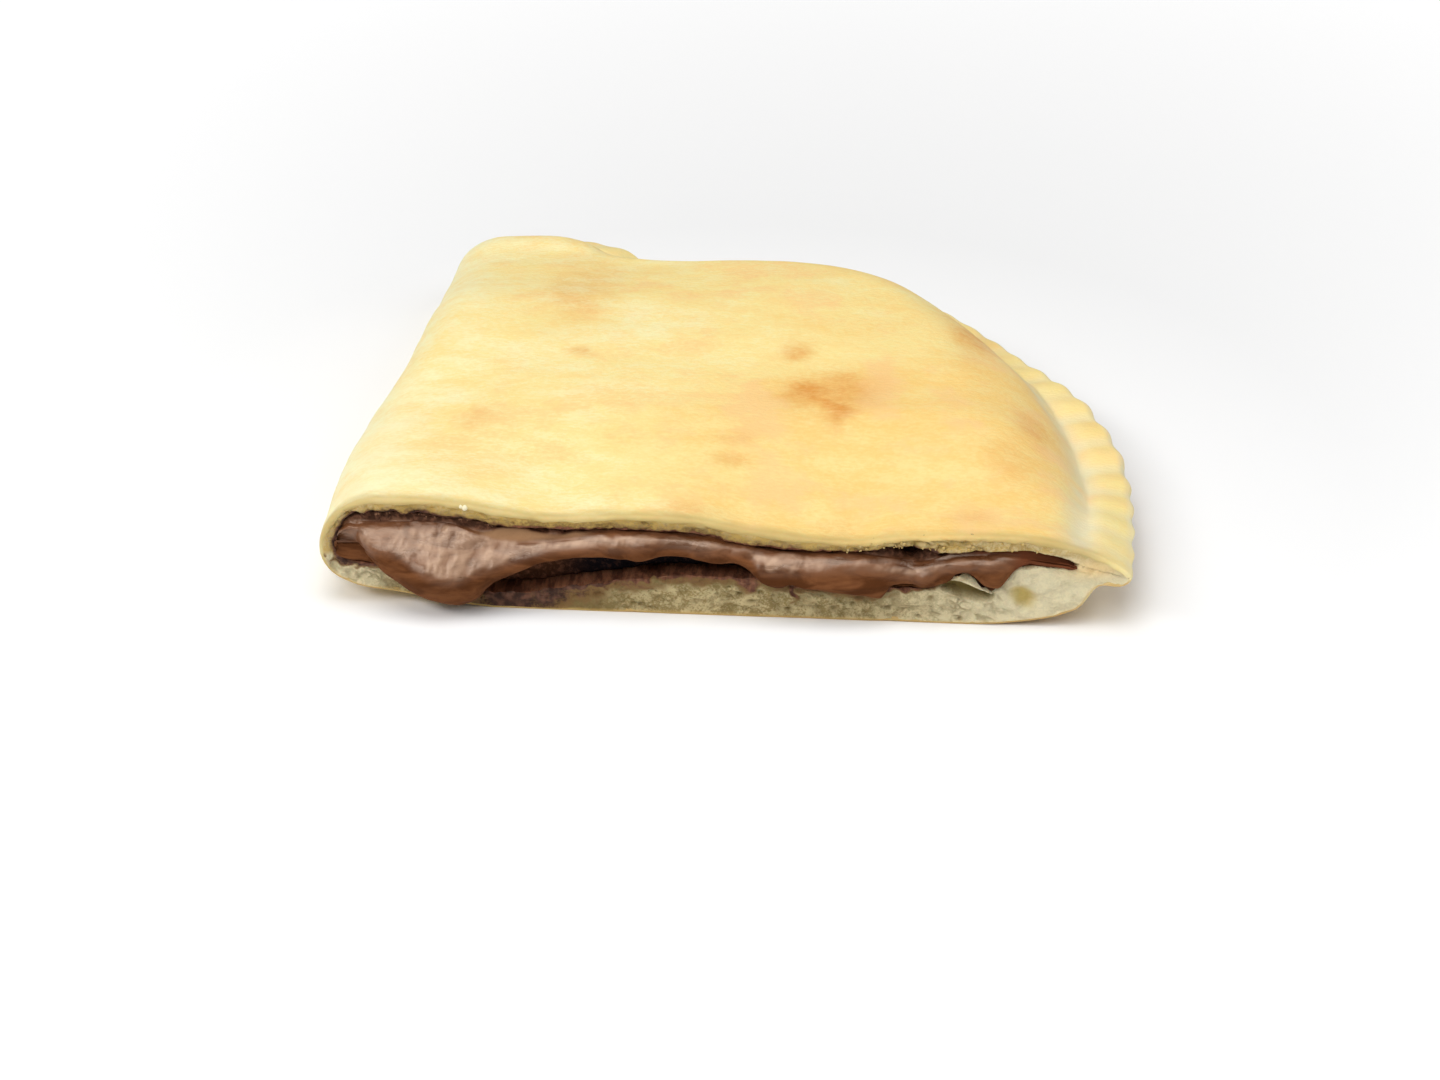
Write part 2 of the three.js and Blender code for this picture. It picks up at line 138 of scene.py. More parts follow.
floor_mesh = bpy.data.meshes.new("floor")
floor_corners = [(-FLOOR_HALF, -FLOOR_HALF, 0), (FLOOR_HALF, -FLOOR_HALF, 0),
                 (FLOOR_HALF, FLOOR_HALF, 0), (-FLOOR_HALF, FLOOR_HALF, 0)]
floor_mesh.from_pydata(to_frame(floor_corners).tolist(), [], [(0, 1, 2, 3)])
floor = bpy.data.objects.new("floor", floor_mesh)
bpy.context.scene.collection.objects.link(floor)
table_top = bpy.data.materials.new("table_top")
table_top.use_nodes = True
table_tree = table_top.node_tree
ground = table_tree.nodes["Principled BSDF"]
ground.inputs["Base Color"].default_value = FLOOR_COLOUR
ground.inputs["Roughness"].default_value = 0.8
ground.inputs["Emission Color"].default_value = (1, 1, 1, 1)
ground_place = add_node(table_tree, "ShaderNodeTexCoord")
from_middle = add_node(table_tree, "ShaderNodeVectorMath", {0: ground_place.outputs["Object"]},
                       operation="LENGTH")
glow = add_node(table_tree, "ShaderNodeMapRange",
                {0: from_middle.outputs["Value"], 1: GLOW_FROM, 2: GLOW_FULL, 3: 0.0, 4: GROUND_GLOW})
table_tree.links.new(glow.outputs[0], ground.inputs["Emission Strength"])
floor_mesh.materials.append(table_top)

# ---- baked crust ----------------------------------------------------------------------------------------
# The outside of one rolled sheet of pizza dough, folded over and pressed shut with a finger all along its
# round rim. Baking turned its skin golden, with toasted blisters where it stood highest.
RIM_REACH = 132  # from the fold to the rim
RIM_BACK = 108  # from the middle of the rim's curve to the tip
RIM_MIDDLE_Y = 20
RIM_POWER = 2.5
RIM_WANDER = 1.3
RIM_SWAYS = 2.2
CORNER_ROUND = 9
FOLD_LINE = [[0, 0], [18, -1], [34, -0.8], [58, 2], [80, 3.4], [128, 4.6]]  # x of the fold along y
FOLD_HEIGHT = 9.7
FOLD_ROUND_TOP = 10
FOLD_ROUND_BOTTOM = 9
CROWN_HEIGHT = 22.4
FOLD_SINK = 3  # the crown sinks this much towards the fold, the cut and the back
CUT_SINK = 1.8
BACK_SINK = 3.2
CROWN_WAVE = 0.35
FLANGE_HEIGHT = 9.5
FLANGE_TOP = 11
SHOULDER_WIDTH = {"right": 24, "back": 10}
VALLEY_INSIDE = 8.5
# Each of these is given along the rim, from 0 at the cut to 1 at the tip.
FLANGE_WIDTH = [[0, 7.5], [0.15, 7.5], [0.24, 6], [0.33, 4.8], [0.42, 6], [0.6, 12.5], [0.72, 12],
                [0.84, 7.5], [1, 7]]
VALLEY_DEPTH = [[0, 1.0], [0.2, 1.1], [0.3, 0.3], [0.42, 0.2], [0.55, 0.9], [0.72, 0.8], [0.82, 0.1],
                [1, 0]]
CRIMP_STRENGTH = [[0, 0.35], [0.1, 0.45], [0.2, 0.5], [0.33, 0.25], [0.45, 0.3], [0.6, 0.7], [0.72, 0.6],
                  [0.85, 0.3], [1, 0.2]]
FLANGE_DROP = 3.8
FLANGE_WAVE = 0.5
RIM_EDGE_ROUND = 1.6
EAR_RISE = 3.1
EAR_X = 24
EAR_REACH = 16
EAR_HALF_WIDTH = 9
CRIMPS = 24
CRIMP_SCALLOP = 0.7
CRIMP_RELIEF = 0.55
CRIMP_DRIFT = 0.009
BLEND_BACK = 38  # over this depth the cut's own outline passes into the general shape
CUT_TOP = [[0, 19], [14, 19.4], [22, 19.1], [30, 17.8], [38, 17], [46, 17.5], [54, 17.8], [62, 17.3],
           [70, 15.8], [86, 14.3], [94, 15.5], [110, 16.1], [118, 15.5], [126, 13.1], [132, 9.6]]
CUT_BOTTOM = [[0, 3], [8, 2.9], [15, 2], [22, 0.7], [28, 0], [132, 0]]
RIM_UNDERSIDE = [[0, 8.3], [2, 7.8], [5.5, 7.6], [7.6, 4.2], [9, 3.1], [12, 1.9], [19, 0.5], [25, 0]]

CRUST_THICK = 0.75
CRUST_EDGE_ROUND = 0.7  # where the knife rounded the skin over at the cut
ROWS_A_CRIMP = 11
INNER_ROWS = 26
TOP_POINTS = 150
BOTTOM_POINTS = 78
RIM_SAMPLES = 4000
LINE_SAMPLES = 400
LINE_REACH = 42  # a line over the dough runs this far straight in from the rim before it bends to the fold
LINE_BEND = 0.25
LUMP_SIZE = (15, 9, 9)  # the stretched dough's broad unevenness
LUMP_HEIGHT = 0.28
RIPPLE_SIZE = (6, 2.6, 2.6)
RIPPLE_HEIGHT = 0.055

# Toasted places on the top, as x, y, half length, half width and strength.
BLISTERS = [[77.6, 42.2, 5.0, 4.4, 1.0], [82.4, 37.2, 2.7, 5.2, 0.95], [83.5, 43, 6.5, 8, 0.6],
            [74.6, 57.5, 2.8, 3.6, 0.65], [36, 55.5, 2.6, 1.7, 0.4], [66.5, 19.6, 3.4, 2.2, 0.4],
            [66, 26, 3.5, 3, 0.25], [61.5, 4, 5, 2.5, 0.3], [84.5, 3.5, 3, 4, 0.25],
            [106.5, 74, 4.2, 15, 0.55], [116.2, 37.5, 3.6, 5.6, 0.45], [110, 88, 4, 5, 0.5],
            [33.5, 84, 7, 17, 0.30], [21.5, 30, 3, 6, 0.16], [104.5, 6.5, 3.5, 2.5, 0.22],
            [36, 112, 7, 5, 0.2], [50, 112, 9, 6, 0.18], [112, 24, 4, 7, 0.25], [99, 99, 6, 6, 0.25]]


def clamp01(value):
    return np.clip(value, 0.0, 1.0)


def mix(a, b, share):
    return a + (b - a) * share


def ease(start, end, value):
    """0 before start, 1 after end, with a smooth S between."""
    u = clamp01((value - start) / (end - start))
    return u * u * (3 - 2 * u)


def round_off(inward, radius):
    """0 at an edge, 1 from radius inwards, along a quarter circle."""
    return np.sqrt(np.maximum(0, 1 - (1 - clamp01(inward / radius)) ** 2))


def bump(distance, half):
    """A bell: 1 in the middle, about a third at half."""
    return np.exp(-((distance / half) ** 2))


def curve_through(points):
    """A smooth curve through the points: cubic pieces with the slope of the line between the neighbours."""
    at, value = np.array(points, float).T
    around = np.clip(np.arange(-1, len(at) + 1), 0, len(at) - 1)
    slope = (value[around[2:]] - value[around[:-2]]) / (at[around[2:]] - at[around[:-2]])

    def curve(x):
        x = np.clip(x, at[0], at[-1])
        i = np.clip(np.searchsorted(at, x, side="right") - 1, 0, len(at) - 2)
        step = at[i + 1] - at[i]
        u = (x - at[i]) / step
        return (value[i] * (1 + 2 * u) * (1 - u) ** 2 + slope[i] * step * u * (1 - u) ** 2
                + value[i + 1] * u * u * (3 - 2 * u) + slope[i + 1] * step * u * u * (u - 1))

    return curve


NOISE_GRID = 32


def lumps(points, size, seed):
    """Smooth noise from -1 to 1, lumps about size across: random values on a grid, eased between nodes."""
    grid = np.random.default_rng(seed).uniform(-1, 1, (NOISE_GRID,) * 3)
    place = np.asarray(points, float) / np.asarray(size, float) + 50
    cell = np.floor(place).astype(int)
    u = place - cell
    u = u * u * (3 - 2 * u)
    total = np.zeros(place.shape[:-1])
    for corner in np.ndindex(2, 2, 2):
        weight = np.prod(np.where(corner, u, 1 - u), axis=-1)
        node = (cell + corner) % NOISE_GRID
        total += weight * grid[node[..., 0], node[..., 1], node[..., 2]]
    return total


fold_line = curve_through(FOLD_LINE)
flange_width = curve_through(FLANGE_WIDTH)
valley_depth = curve_through(VALLEY_DEPTH)
crimp_strength = curve_through(CRIMP_STRENGTH)
cut_top = curve_through(CUT_TOP)
cut_bottom = curve_through(CUT_BOTTOM)
rim_underside = curve_through(RIM_UNDERSIDE)


def fold_x(y):
    """The fold's x at y: its line, rounded into the rim by a quarter circle at the tip."""
    bend = np.maximum(0, y - (RIM_MIDDLE_Y + RIM_BACK - CORNER_ROUND))
    return fold_line(y) + CORNER_ROUND - np.sqrt(np.maximum(0, CORNER_ROUND**2 - bend**2))


HALF_POWER = RIM_POWER / 2
RIM_FROM = -np.arcsin((RIM_MIDDLE_Y / RIM_BACK) ** HALF_POWER)
RIM_TO = np.arccos((fold_x(RIM_MIDDLE_Y + RIM_BACK) / RIM_REACH) ** HALF_POWER)


def rim_scale(angle):
    """The rim's sway in and out: a cosine wave along its angle, from a tenth of the way on."""
    share = (angle - RIM_FROM) / (RIM_TO - RIM_FROM)
    return 1 + RIM_WANDER * np.cos(2 * np.pi * RIM_SWAYS * (share - 0.14)) * ease(0, 0.1, share) / RIM_REACH


def inside_rim(x, y):
    """How far a point of the plan is inside the rim: the superellipse's level there over its slope."""
    u, v = np.maximum(x, 0.1) / RIM_REACH, np.abs(y - RIM_MIDDLE_Y) / RIM_BACK
    level = (u**RIM_POWER + v**RIM_POWER) ** (1 / RIM_POWER)
    steep = np.hypot((u / level) ** (RIM_POWER - 1) / RIM_REACH, (v / level) ** (RIM_POWER - 1) / RIM_BACK)
    angle = np.arctan2(np.sign(y - RIM_MIDDLE_Y) * v**HALF_POWER, u**HALF_POWER)
    return (rim_scale(angle) - level) / steep


def rim_at(share):
    """Points and directions of the rim at shares of its length, from a finely divided superellipse."""
    angle = np.linspace(RIM_FROM, RIM_TO, RIM_SAMPLES)
    up = np.sin(angle)
    line = np.stack([RIM_REACH * rim_scale(angle) * np.cos(angle) ** (1 / HALF_POWER),
                     RIM_MIDDLE_Y + RIM_BACK * rim_scale(angle) * np.sign(up) * np.abs(up) ** (1 / HALF_POWER)])
    run = np.concatenate([[0], np.cumsum(np.hypot(*np.diff(line)))])
    ahead = np.gradient(line, axis=1) / np.hypot(*np.gradient(line, axis=1))
    sample = [np.interp(share * run[-1], run, row) for row in [*line, *ahead]]
    return np.stack(sample[:2], -1), np.stack(sample[2:], -1)


def into_body(y):
    return ease(0, BLEND_BACK, y)


def crown(x, y):
    """Height of the puffed top: it sinks to the fold, the cut and the back, with shallow waves."""
    return (CROWN_HEIGHT - FOLD_SINK * np.exp(-x / 16) - CUT_SINK * ease(85, 35, y)
            - BACK_SINK * ease(72, 108, y) * ease(75, 38, x)
            + CROWN_WAVE * np.sin(x / 11 + 1) * np.sin(y / 13 + 2))


def around_rim(x, y):
    return np.arctan2(y - RIM_MIDDLE_Y, x) / (np.pi / 2)


def drop(x, y, inward):
    """How far the flange hangs lower: a wave all along it and a dip at the back."""
    around = around_rim(x, y)
    wave = FLANGE_WAVE * np.sin(22 * around) * ease(0, 25, y)
    return (wave + FLANGE_DROP * ease(0.48, 0.6, around) * ease(0.8, 0.72, around)) * ease(22, 9, inward)


def shoulder(x, y, inward):
    """0 on the flange, 1 on the crown, rising steeply first."""
    around = around_rim(x, y)
    width = mix(SHOULDER_WIDTH["right"], SHOULDER_WIDTH["back"], ease(0.1, 0.62, around))
    return 1 - (1 - clamp01((inward - flange_width(around)) / width)) ** 2.4


def ear(x, inward):
    """The thick corner where the rim runs into the fold."""
    return EAR_RISE * np.exp(-(np.maximum(0, (x - EAR_X) / EAR_REACH) ** 3)) * bump(inward - 6, EAR_HALF_WIDTH)


def puffed(x, y):
    inward = inside_rim(x, y)
    return mix(FLANGE_TOP, crown(x, y), shoulder(x, y, inward)) - drop(x, y, inward)


def outer_top(x, y, inward, crimp):
    """Height of the top before its edges turn over: cut outline to general shape, with crimps and valley."""
    lobe = CRIMP_RELIEF * crimp * bump(inward - 3.5, 4)
    valley = valley_depth(around_rim(x, y)) * bump(inward - VALLEY_INSIDE, 2.5)
    general = mix(FLANGE_TOP, crown(x, y), shoulder(x, y, inward)) + np.where(y > 60, ear(x, inward), 0)
    return mix(cut_top(x), general, into_body(y)) + (lobe - valley) * ease(0, 8, y) - drop(x, y, inward)


def outer_bottom(x, y, inward, crimp):
    """Height of the underside: flat on the table, rising under the rim and at the fold's end of the cut."""
    pressed = 0.3 * CRIMP_RELIEF * crimp * bump(inward - 3, 3) * ease(0, 8, y)
    high = np.maximum(cut_bottom(x), rim_underside(inward) - pressed - drop(x, y, inward))
    return np.maximum(0, high)


def steps_in(length, share):
    """Distances in from the rim on lines of these lengths: closer where rim and fold turn over."""
    length = length[:, None]
    scale = np.minimum(1, length / 62)
    zones = [0, 0.06, 0.46, 0.84, 1]
    marks = [0 * length, RIM_EDGE_ROUND * scale, 27 * scale, length - FOLD_ROUND_TOP * scale, length]
    zone = np.clip(np.searchsorted(zones, share, side="right") - 1, 0, 3)
    u = (share - np.take(zones, zone)) / (np.take(zones, zone + 1) - np.take(zones, zone))
    u = np.where(zone == 0, 1 - np.cos(u * np.pi / 2), np.where(zone == 3, np.sin(u * np.pi / 2), u))
    marks = np.concatenate(marks, axis=1)
    return mix(marks[:, zone], marks[:, zone + 1], u)


def outside(share, top_share, bottom_share):
    """The dough's outside as rows of rings. Each row starts at a share of the rim's length and runs over the
    top to the fold along a bent line (a quadratic curve in plan), then back underneath. Returns the points
    and, with the same layout, how far in from the rim they are and the crimp's wave."""
    edge, ahead = rim_at(share)
    inwards = np.stack([-ahead[:, 1], ahead[:, 0] * ease(0, 0.1, share)], -1)
    inwards /= np.linalg.norm(inwards, axis=1, keepdims=True)
    strength = crimp_strength(around_rim(*edge.T))
    crimp = (strength * np.cos(2 * np.pi * CRIMPS * (share + CRIMP_DRIFT * np.sin(14 * share))))[:, None]
    scallop = CRIMP_SCALLOP * crimp * (ease(0, 0.04, share) * ease(1, 0.97, share))[:, None]
    middle = edge + inwards * (LINE_REACH * (1 - share**3))[:, None]
    fold = np.stack([fold_x(middle[:, 1]), middle[:, 1]], -1)
    pull = mix(middle, fold, LINE_BEND)
    edge = edge - inwards * scallop
    t = np.linspace(0, 1, LINE_SAMPLES)[None, :, None]
    line = (1 - t) ** 2 * edge[:, None] + 2 * t * (1 - t) * pull[:, None] + t**2 * fold[:, None]
    run = np.cumsum(np.linalg.norm(np.diff(line, axis=1, prepend=line[:, :1]), axis=2), axis=1)
    length = run[:, -1]

    def along(shares):
        step = steps_in(length, shares)
        plan = [[np.interp(s, r, row[:, k]) for s, r, row in zip(step, run, line)] for k in (0, 1)]
        return step, np.array(plan[0]), np.array(plan[1])

    halves = []
    for shares, upper in ((top_share, True), (bottom_share, False)):
        step, x, y = along(shares)
        near = np.maximum(0, inside_rim(x, y))
        from_fold = length[:, None] - step
        rest = mix(FLANGE_HEIGHT, FOLD_HEIGHT, step / length[:, None]) - drop(x, y, near)
        soft = round_off(step, RIM_EDGE_ROUND)
        if upper:
            z = rest + (outer_top(x, y, near, crimp) - rest) * soft * round_off(from_fold, FOLD_ROUND_TOP)
        else:
            z = rest - (rest - outer_bottom(x, y, near, crimp)) * soft * round_off(from_fold, FOLD_ROUND_BOTTOM)
        halves.append((np.stack([x, y, z], -1), near, np.broadcast_to(crimp, near.shape)))
    return [np.concatenate(parts, axis=1) for parts in zip(*halves)]


def ring_normals(rings):
    """Outward unit normals of rows of closed rings: the cross product of the steps along ring and row."""
    round_ring = np.roll(rings, -1, axis=1) - np.roll(rings, 1, axis=1)
    normal = np.cross(round_ring, np.gradient(rings, axis=0))
    normal /= np.maximum(np.linalg.norm(normal, axis=2, keepdims=True), 1e-9)
    middle = rings.mean(axis=(0, 1))
    return normal * np.sign(((rings - middle) * normal).sum())


def skinned(name, rings, masks):
    """A closed, smooth body over rows of rings, in millimetres: quads between neighbours, and at each end a
    ladder between the ring's two halves. It is turned inside out if its volume comes out negative. masks are
    values per point, kept as attributes."""
    rows, count = rings.shape[:2]
    start = np.arange(rows - 1)[:, None] * count
    here = start + np.arange(count)
    beside = start + (np.arange(count) + 1) % count
    quads = [np.stack([here, here + count, beside + count, beside], -1).reshape(-1, 4)]
    rung = np.arange(1, count // 2 - 1)
    ladder = np.stack([rung, rung + 1, count - rung - 1, count - rung], -1)
    quads += [ladder, ladder[:, ::-1] + (rows - 1) * count]
    quads = np.concatenate(quads)
    half = count // 2
    tips = np.array([[0, 1, count - 1], [half - 1, half, half + 1]])
    tips = np.concatenate([tips, tips[:, ::-1] + (rows - 1) * count])
    points = rings.reshape(-1, 3)
    a, b, c, d = (points[quads[:, k]] for k in range(4))
    volume = (np.cross(a, b) * c).sum() + (np.cross(a, c) * d).sum()
    if volume < 0:
        quads, tips = quads[:, ::-1], tips[:, ::-1]
    mesh = bpy.data.meshes.new(name)
    mesh.vertices.add(len(points))
    mesh.vertices.foreach_set("co", to_frame(points).astype(np.float32).ravel())
    corners = np.concatenate([quads.ravel(), tips.ravel()])
    sizes = np.concatenate([np.full(len(quads), 4), np.full(len(tips), 3)])
    mesh.loops.add(len(corners))
    mesh.loops.foreach_set("vertex_index", corners.astype(np.int32))
    mesh.polygons.add(len(sizes))
    mesh.polygons.foreach_set("loop_start", np.concatenate([[0], np.cumsum(sizes)[:-1]]).astype(np.int32))
    mesh.update(calc_edges=True)
    mesh.validate()
    mesh.polygons.foreach_set("use_smooth", np.ones(len(mesh.polygons), bool))
    for mask, values in masks.items():
        layer = mesh.attributes.new(mask, "FLOAT", "POINT")
        layer.data.foreach_set("value", np.broadcast_to(values, rings.shape[:2]).astype(np.float32).ravel())
    piece = bpy.data.objects.new(name, mesh)
    bpy.context.scene.collection.objects.link(piece)
    return piece


def crust_rings():
    """Outer rows from the tip to the cut, a rounded edge at the cut, and a plain inner wall back."""
    near_cut = np.array([0, 0.0006, 0.0013, 0.0021, 0.003, 0.0042])
    rim_shares = np.concatenate([near_cut, np.linspace(0.0058, 0.996, CRIMPS * ROWS_A_CRIMP)])[::-1]
    top = np.linspace(0, 1, TOP_POINTS)
    bottom = np.linspace(1, 0, BOTTOM_POINTS)[1:-1]
    rings, near, crimp = outside(rim_shares, top, bottom)
    normal = ring_normals(rings)
    swell = LUMP_HEIGHT * lumps(rings, LUMP_SIZE, 3) + RIPPLE_HEIGHT * lumps(rings, RIPPLE_SIZE, 4)
    upward = ease(-0.2, 0.5, normal[..., 2])
    quiet = ease(0, 6, rings[..., 1])
    rings = rings + normal * (swell * upward * quiet)[..., None]
    crumbly = ease(84, 90, rings[..., 0]) * ease(112, 104, rings[..., 0])
    edge = CRUST_EDGE_ROUND * (1 + 0.45 * lumps(rings, 2.2, 5) + 0.5 * crumbly * lumps(rings, 0.9, 7))
    edge = edge * mix(0.4, 1, ease(-0.7, 0.1, normal[..., 2]))
    turned = edge * (1 - round_off(rings[..., 1], edge))
    rings = rings - normal * turned[..., None]
    rings[..., 2] = np.maximum(rings[..., 2], 0)
    # At the cut the skin's edge turns olive-brown where it meets the crumb; over the top the band is wider and
    # darker, painted shade where the skin rounds over.
    from_cut = rings[..., 1] + 0.6 * lumps(rings, (2.5, 1, 2.5), 6)
    cut_lip_and_shade = ease(mix(1.2, 3.4, upward), mix(0, -0.6, upward), from_cut)
    cut_lip_and_shade = cut_lip_and_shade * ease(131, 122, rings[..., 0]) * (1 - 0.45 * bump(rings[..., 0] - 100, 9))
    masks = {"inward": near, "crimp": crimp, "upward": upward, "lip": cut_lip_and_shade,
             "under": ease(-0.3, -0.85, normal[..., 2])}
    inner_rows = np.unique(np.linspace(0, len(rings) - 6, INNER_ROWS).astype(int))[::-1]
    lip = rings[-1] - normal[-1] * 0.35
    lip[:, 1] = 0.3
    inner = (rings - normal * CRUST_THICK)[inner_rows]
    inner[..., 2] = np.maximum(inner[..., 2], CRUST_THICK * 0.8)
    first = inner[0] * 1
    first[:, 1] = 1.2
    rows = np.concatenate([rings, lip[None], first[None], inner])
    filled = {}
    for mask, values in masks.items():
        filled[mask] = np.concatenate([values, values[-1:], values[-1:], values[inner_rows]])
    return rows, filled


def toasted(points):
    """How toasted the skin is: bells at the blisters, their edges frayed by noise."""
    frayed = points + 1.5 * np.stack([lumps(points, 4, 11), lumps(points, 4, 12), 0 * points[..., 0]], -1)
    total = np.zeros(points.shape[:-1])
    for x, y, half_long, half_wide, strength in BLISTERS:
        away = np.hypot((frayed[..., 0] - x) / half_long, (frayed[..., 1] - y) / half_wide)
        total = np.maximum(total, strength * np.exp(-(away**2.6)))
    return total * (1 + 0.25 * lumps(points, 2.2, 13))


def golden(points):
    """Broad tone of the top, from pale near the fold to golden near the rim and the cut."""
    x, y = points[..., 0], points[..., 1]
    ridge = 48 + 9 * ease(70, 104, x)
    front_right = 0.32 * ease(40, 78, x) * ease(ridge + 7, ridge - 7, y)
    edge = 0.31 * ease(-2, 26, x) - 0.06
    patchy = 0.15 * lumps(points, (26, 14, 30), 14) + 0.13 * lumps(points, (9, 3.5, 8), 15)
    near_cut = 0.55 * ease(116, 126, x) * ease(30, 8, y)
    return edge + front_right + 0.14 * ease(30, 90, x) + patchy - near_cut


def pressed(points, inward, crimp):
    """How far the finger kept the skin from browning: valley, creases between lobes and very edge."""
    x, y = points[..., 0], points[..., 1]
    uneven = 1 + 0.5 * lumps(points, (3, 3, 3), 16)
    valley = 0.85 * clamp01(valley_depth(around_rim(x, y))) * bump(inward - VALLEY_INSIDE, 2.6)
    crease = 0.5 * ease(0.1, -0.7, crimp) * ease(9, 5, inward)
    return clamp01((valley + crease + 0.5 * ease(1.6, 0.2, inward)) * uneven)


crust_rows, crust_masks = crust_rings()
crust_masks["toast"] = toasted(crust_rows) * crust_masks["upward"]
crust_masks["golden"] = golden(crust_rows)
crust_masks["pressed"] = pressed(crust_rows, crust_masks["inward"], crust_masks["crimp"])
crust = skinned("crust", crust_rows, crust_masks)
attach(crust, "root")
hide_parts("dough")

PALE_SKIN = (0.95, 0.87, 0.52, 1)
YELLOW_SKIN = (0.93, 0.73, 0.30, 1)
GOLDEN_SKIN = (0.91, 0.58, 0.18, 1)
PEACH_SKIN = (0.93, 0.60, 0.25, 1)
TOASTED_SKIN = (0.74, 0.33, 0.07, 1)
BOTTOM_SKIN = (0.56, 0.36, 0.13, 1)
PRESSED_SKIN = (0.83, 0.73, 0.46, 1)
LOBE_SKIN = (0.90, 0.72, 0.30, 1)
LIP_AND_SHADE_COLOUR = (0.52, 0.385, 0.135, 1)
# Sizes of the patterns, as lumps to the metre, and how far the mottle is stretched along x, y and z.
CRUST_MOTTLE = {"scale": 230, "stretch": (0.75, 1.3, 1.3)}
CLOUDS_SCALE = 75


def group_of(name, inputs, outputs):
    """An empty shader node group with these inputs and outputs. Returns group, inputs and outputs."""
    group = bpy.data.node_groups.new(name, "ShaderNodeTree")
    for label, kind, value in inputs:
        socket = group.interface.new_socket(label, in_out="INPUT", socket_type=kind)
        if value is not None:
            socket.default_value = value
    for label, kind in outputs:
        group.interface.new_socket(label, in_out="OUTPUT", socket_type=kind)
    return group, add_node(group, "NodeGroupInput"), add_node(group, "NodeGroupOutput")


def make_mottle():
    """Uneven tone and grain of dough: two sizes of noise, stretched one way, as a tone and a height."""
    group, given, out = group_of(
        "dough_mottle",
        [("Scale", "NodeSocketFloat", 300), ("Stretch", "NodeSocketVector", (1, 1, 1))],
        [("Tone", "NodeSocketFloat"), ("Height", "NodeSocketFloat")])
    place = add_node(group, "ShaderNodeTexCoord")
    stretched = add_node(group, "ShaderNodeMapping",
                         {"Vector": place.outputs["Object"], "Scale": given.outputs["Stretch"]})
    broad = add_node(group, "ShaderNodeTexNoise",
                     {"Vector": stretched.outputs[0], "Scale": given.outputs["Scale"], "Detail": 3.0,
                      "Roughness": 0.55})
    fine_scale = add_node(group, "ShaderNodeMath", {0: given.outputs["Scale"], 1: 5.5}, operation="MULTIPLY")
    fine = add_node(group, "ShaderNodeTexNoise",
                    {"Vector": stretched.outputs[0], "Scale": fine_scale.outputs[0], "Detail": 4.0,
                     "Roughness": 0.6})
    total = add_node(group, "ShaderNodeMath", {0: broad.outputs[0], 1: fine.outputs[0]}, operation="ADD")
    half = add_node(group, "ShaderNodeMath", {0: total.outputs[0], 1: 0.5}, operation="MULTIPLY")
    group.links.new(half.outputs[0], out.inputs["Tone"])
    group.links.new(fine.outputs[0], out.inputs["Height"])
    return group


dough_mottle = make_mottle()


def blended(tree, share, first, second):
    """first where share is 0, second where it is 1; each a colour or a socket."""
    return add_node(tree, "ShaderNodeMix", {0: share, 6: first, 7: second}, data_type="RGBA").outputs[2]


def spread(tree, value, low, high, to_low=0.0, to_high=1.0):
    """value, with the range from low to high eased onto the range from to_low to to_high."""
    return add_node(tree, "ShaderNodeMapRange", {0: value, 1: low, 2: high, 3: to_low, 4: to_high},
                    interpolation_type="SMOOTHSTEP").outputs[0]


def combined(tree, operation, first, second, **settings):
    return add_node(tree, "ShaderNodeMath", {0: first, 1: second}, operation=operation, **settings).outputs[0]


def product(tree, first, second):
    return combined(tree, "MULTIPLY", first, second)


def object_place(tree, scale=(1, 1, 1)):
    """Object coordinates, stretched by scale along each axis."""
    place = add_node(tree, "ShaderNodeTexCoord").outputs["Object"]
    return add_node(tree, "ShaderNodeMapping", {"Vector": place, "Scale": scale}).outputs[0]


def noise(tree, place, scale, detail, roughness, **more):
    inputs = {"Vector": place, "Scale": scale, "Detail": detail, "Roughness": roughness, **more}
    return add_node(tree, "ShaderNodeTexNoise", inputs).outputs[0]


def mottled(tree, scale, stretch=(1, 1, 1)):
    """The dough's tone and height, from the shared group."""
    inputs = {"Scale": scale, "Stretch": stretch}
    return add_node(tree, "ShaderNodeGroup", inputs, node_tree=dough_mottle).outputs


def bumped(tree, shader, height, strength, distance):
    relief = add_node(tree, "ShaderNodeBump", {"Height": height, "Strength": strength, "Distance": distance})
    tree.links.new(relief.outputs[0], shader.inputs["Normal"])


def mask_of(tree, name):
    return add_node(tree, "ShaderNodeAttribute", attribute_name=name).outputs["Fac"]


def new_material(name, roughness_base=0.6, **fixed):
    """A material whose Principled shader's fixed sockets are set by name. Returns it, tree and shader."""
    material = bpy.data.materials.new(name)
    material.use_nodes = True
    tree = material.node_tree
    shader = tree.nodes["Principled BSDF"]
    shader.inputs["Roughness"].default_value = roughness_base
    for label, value in fixed.items():
        shader.inputs[label.replace("_", " ")].default_value = value
    return material, tree, shader


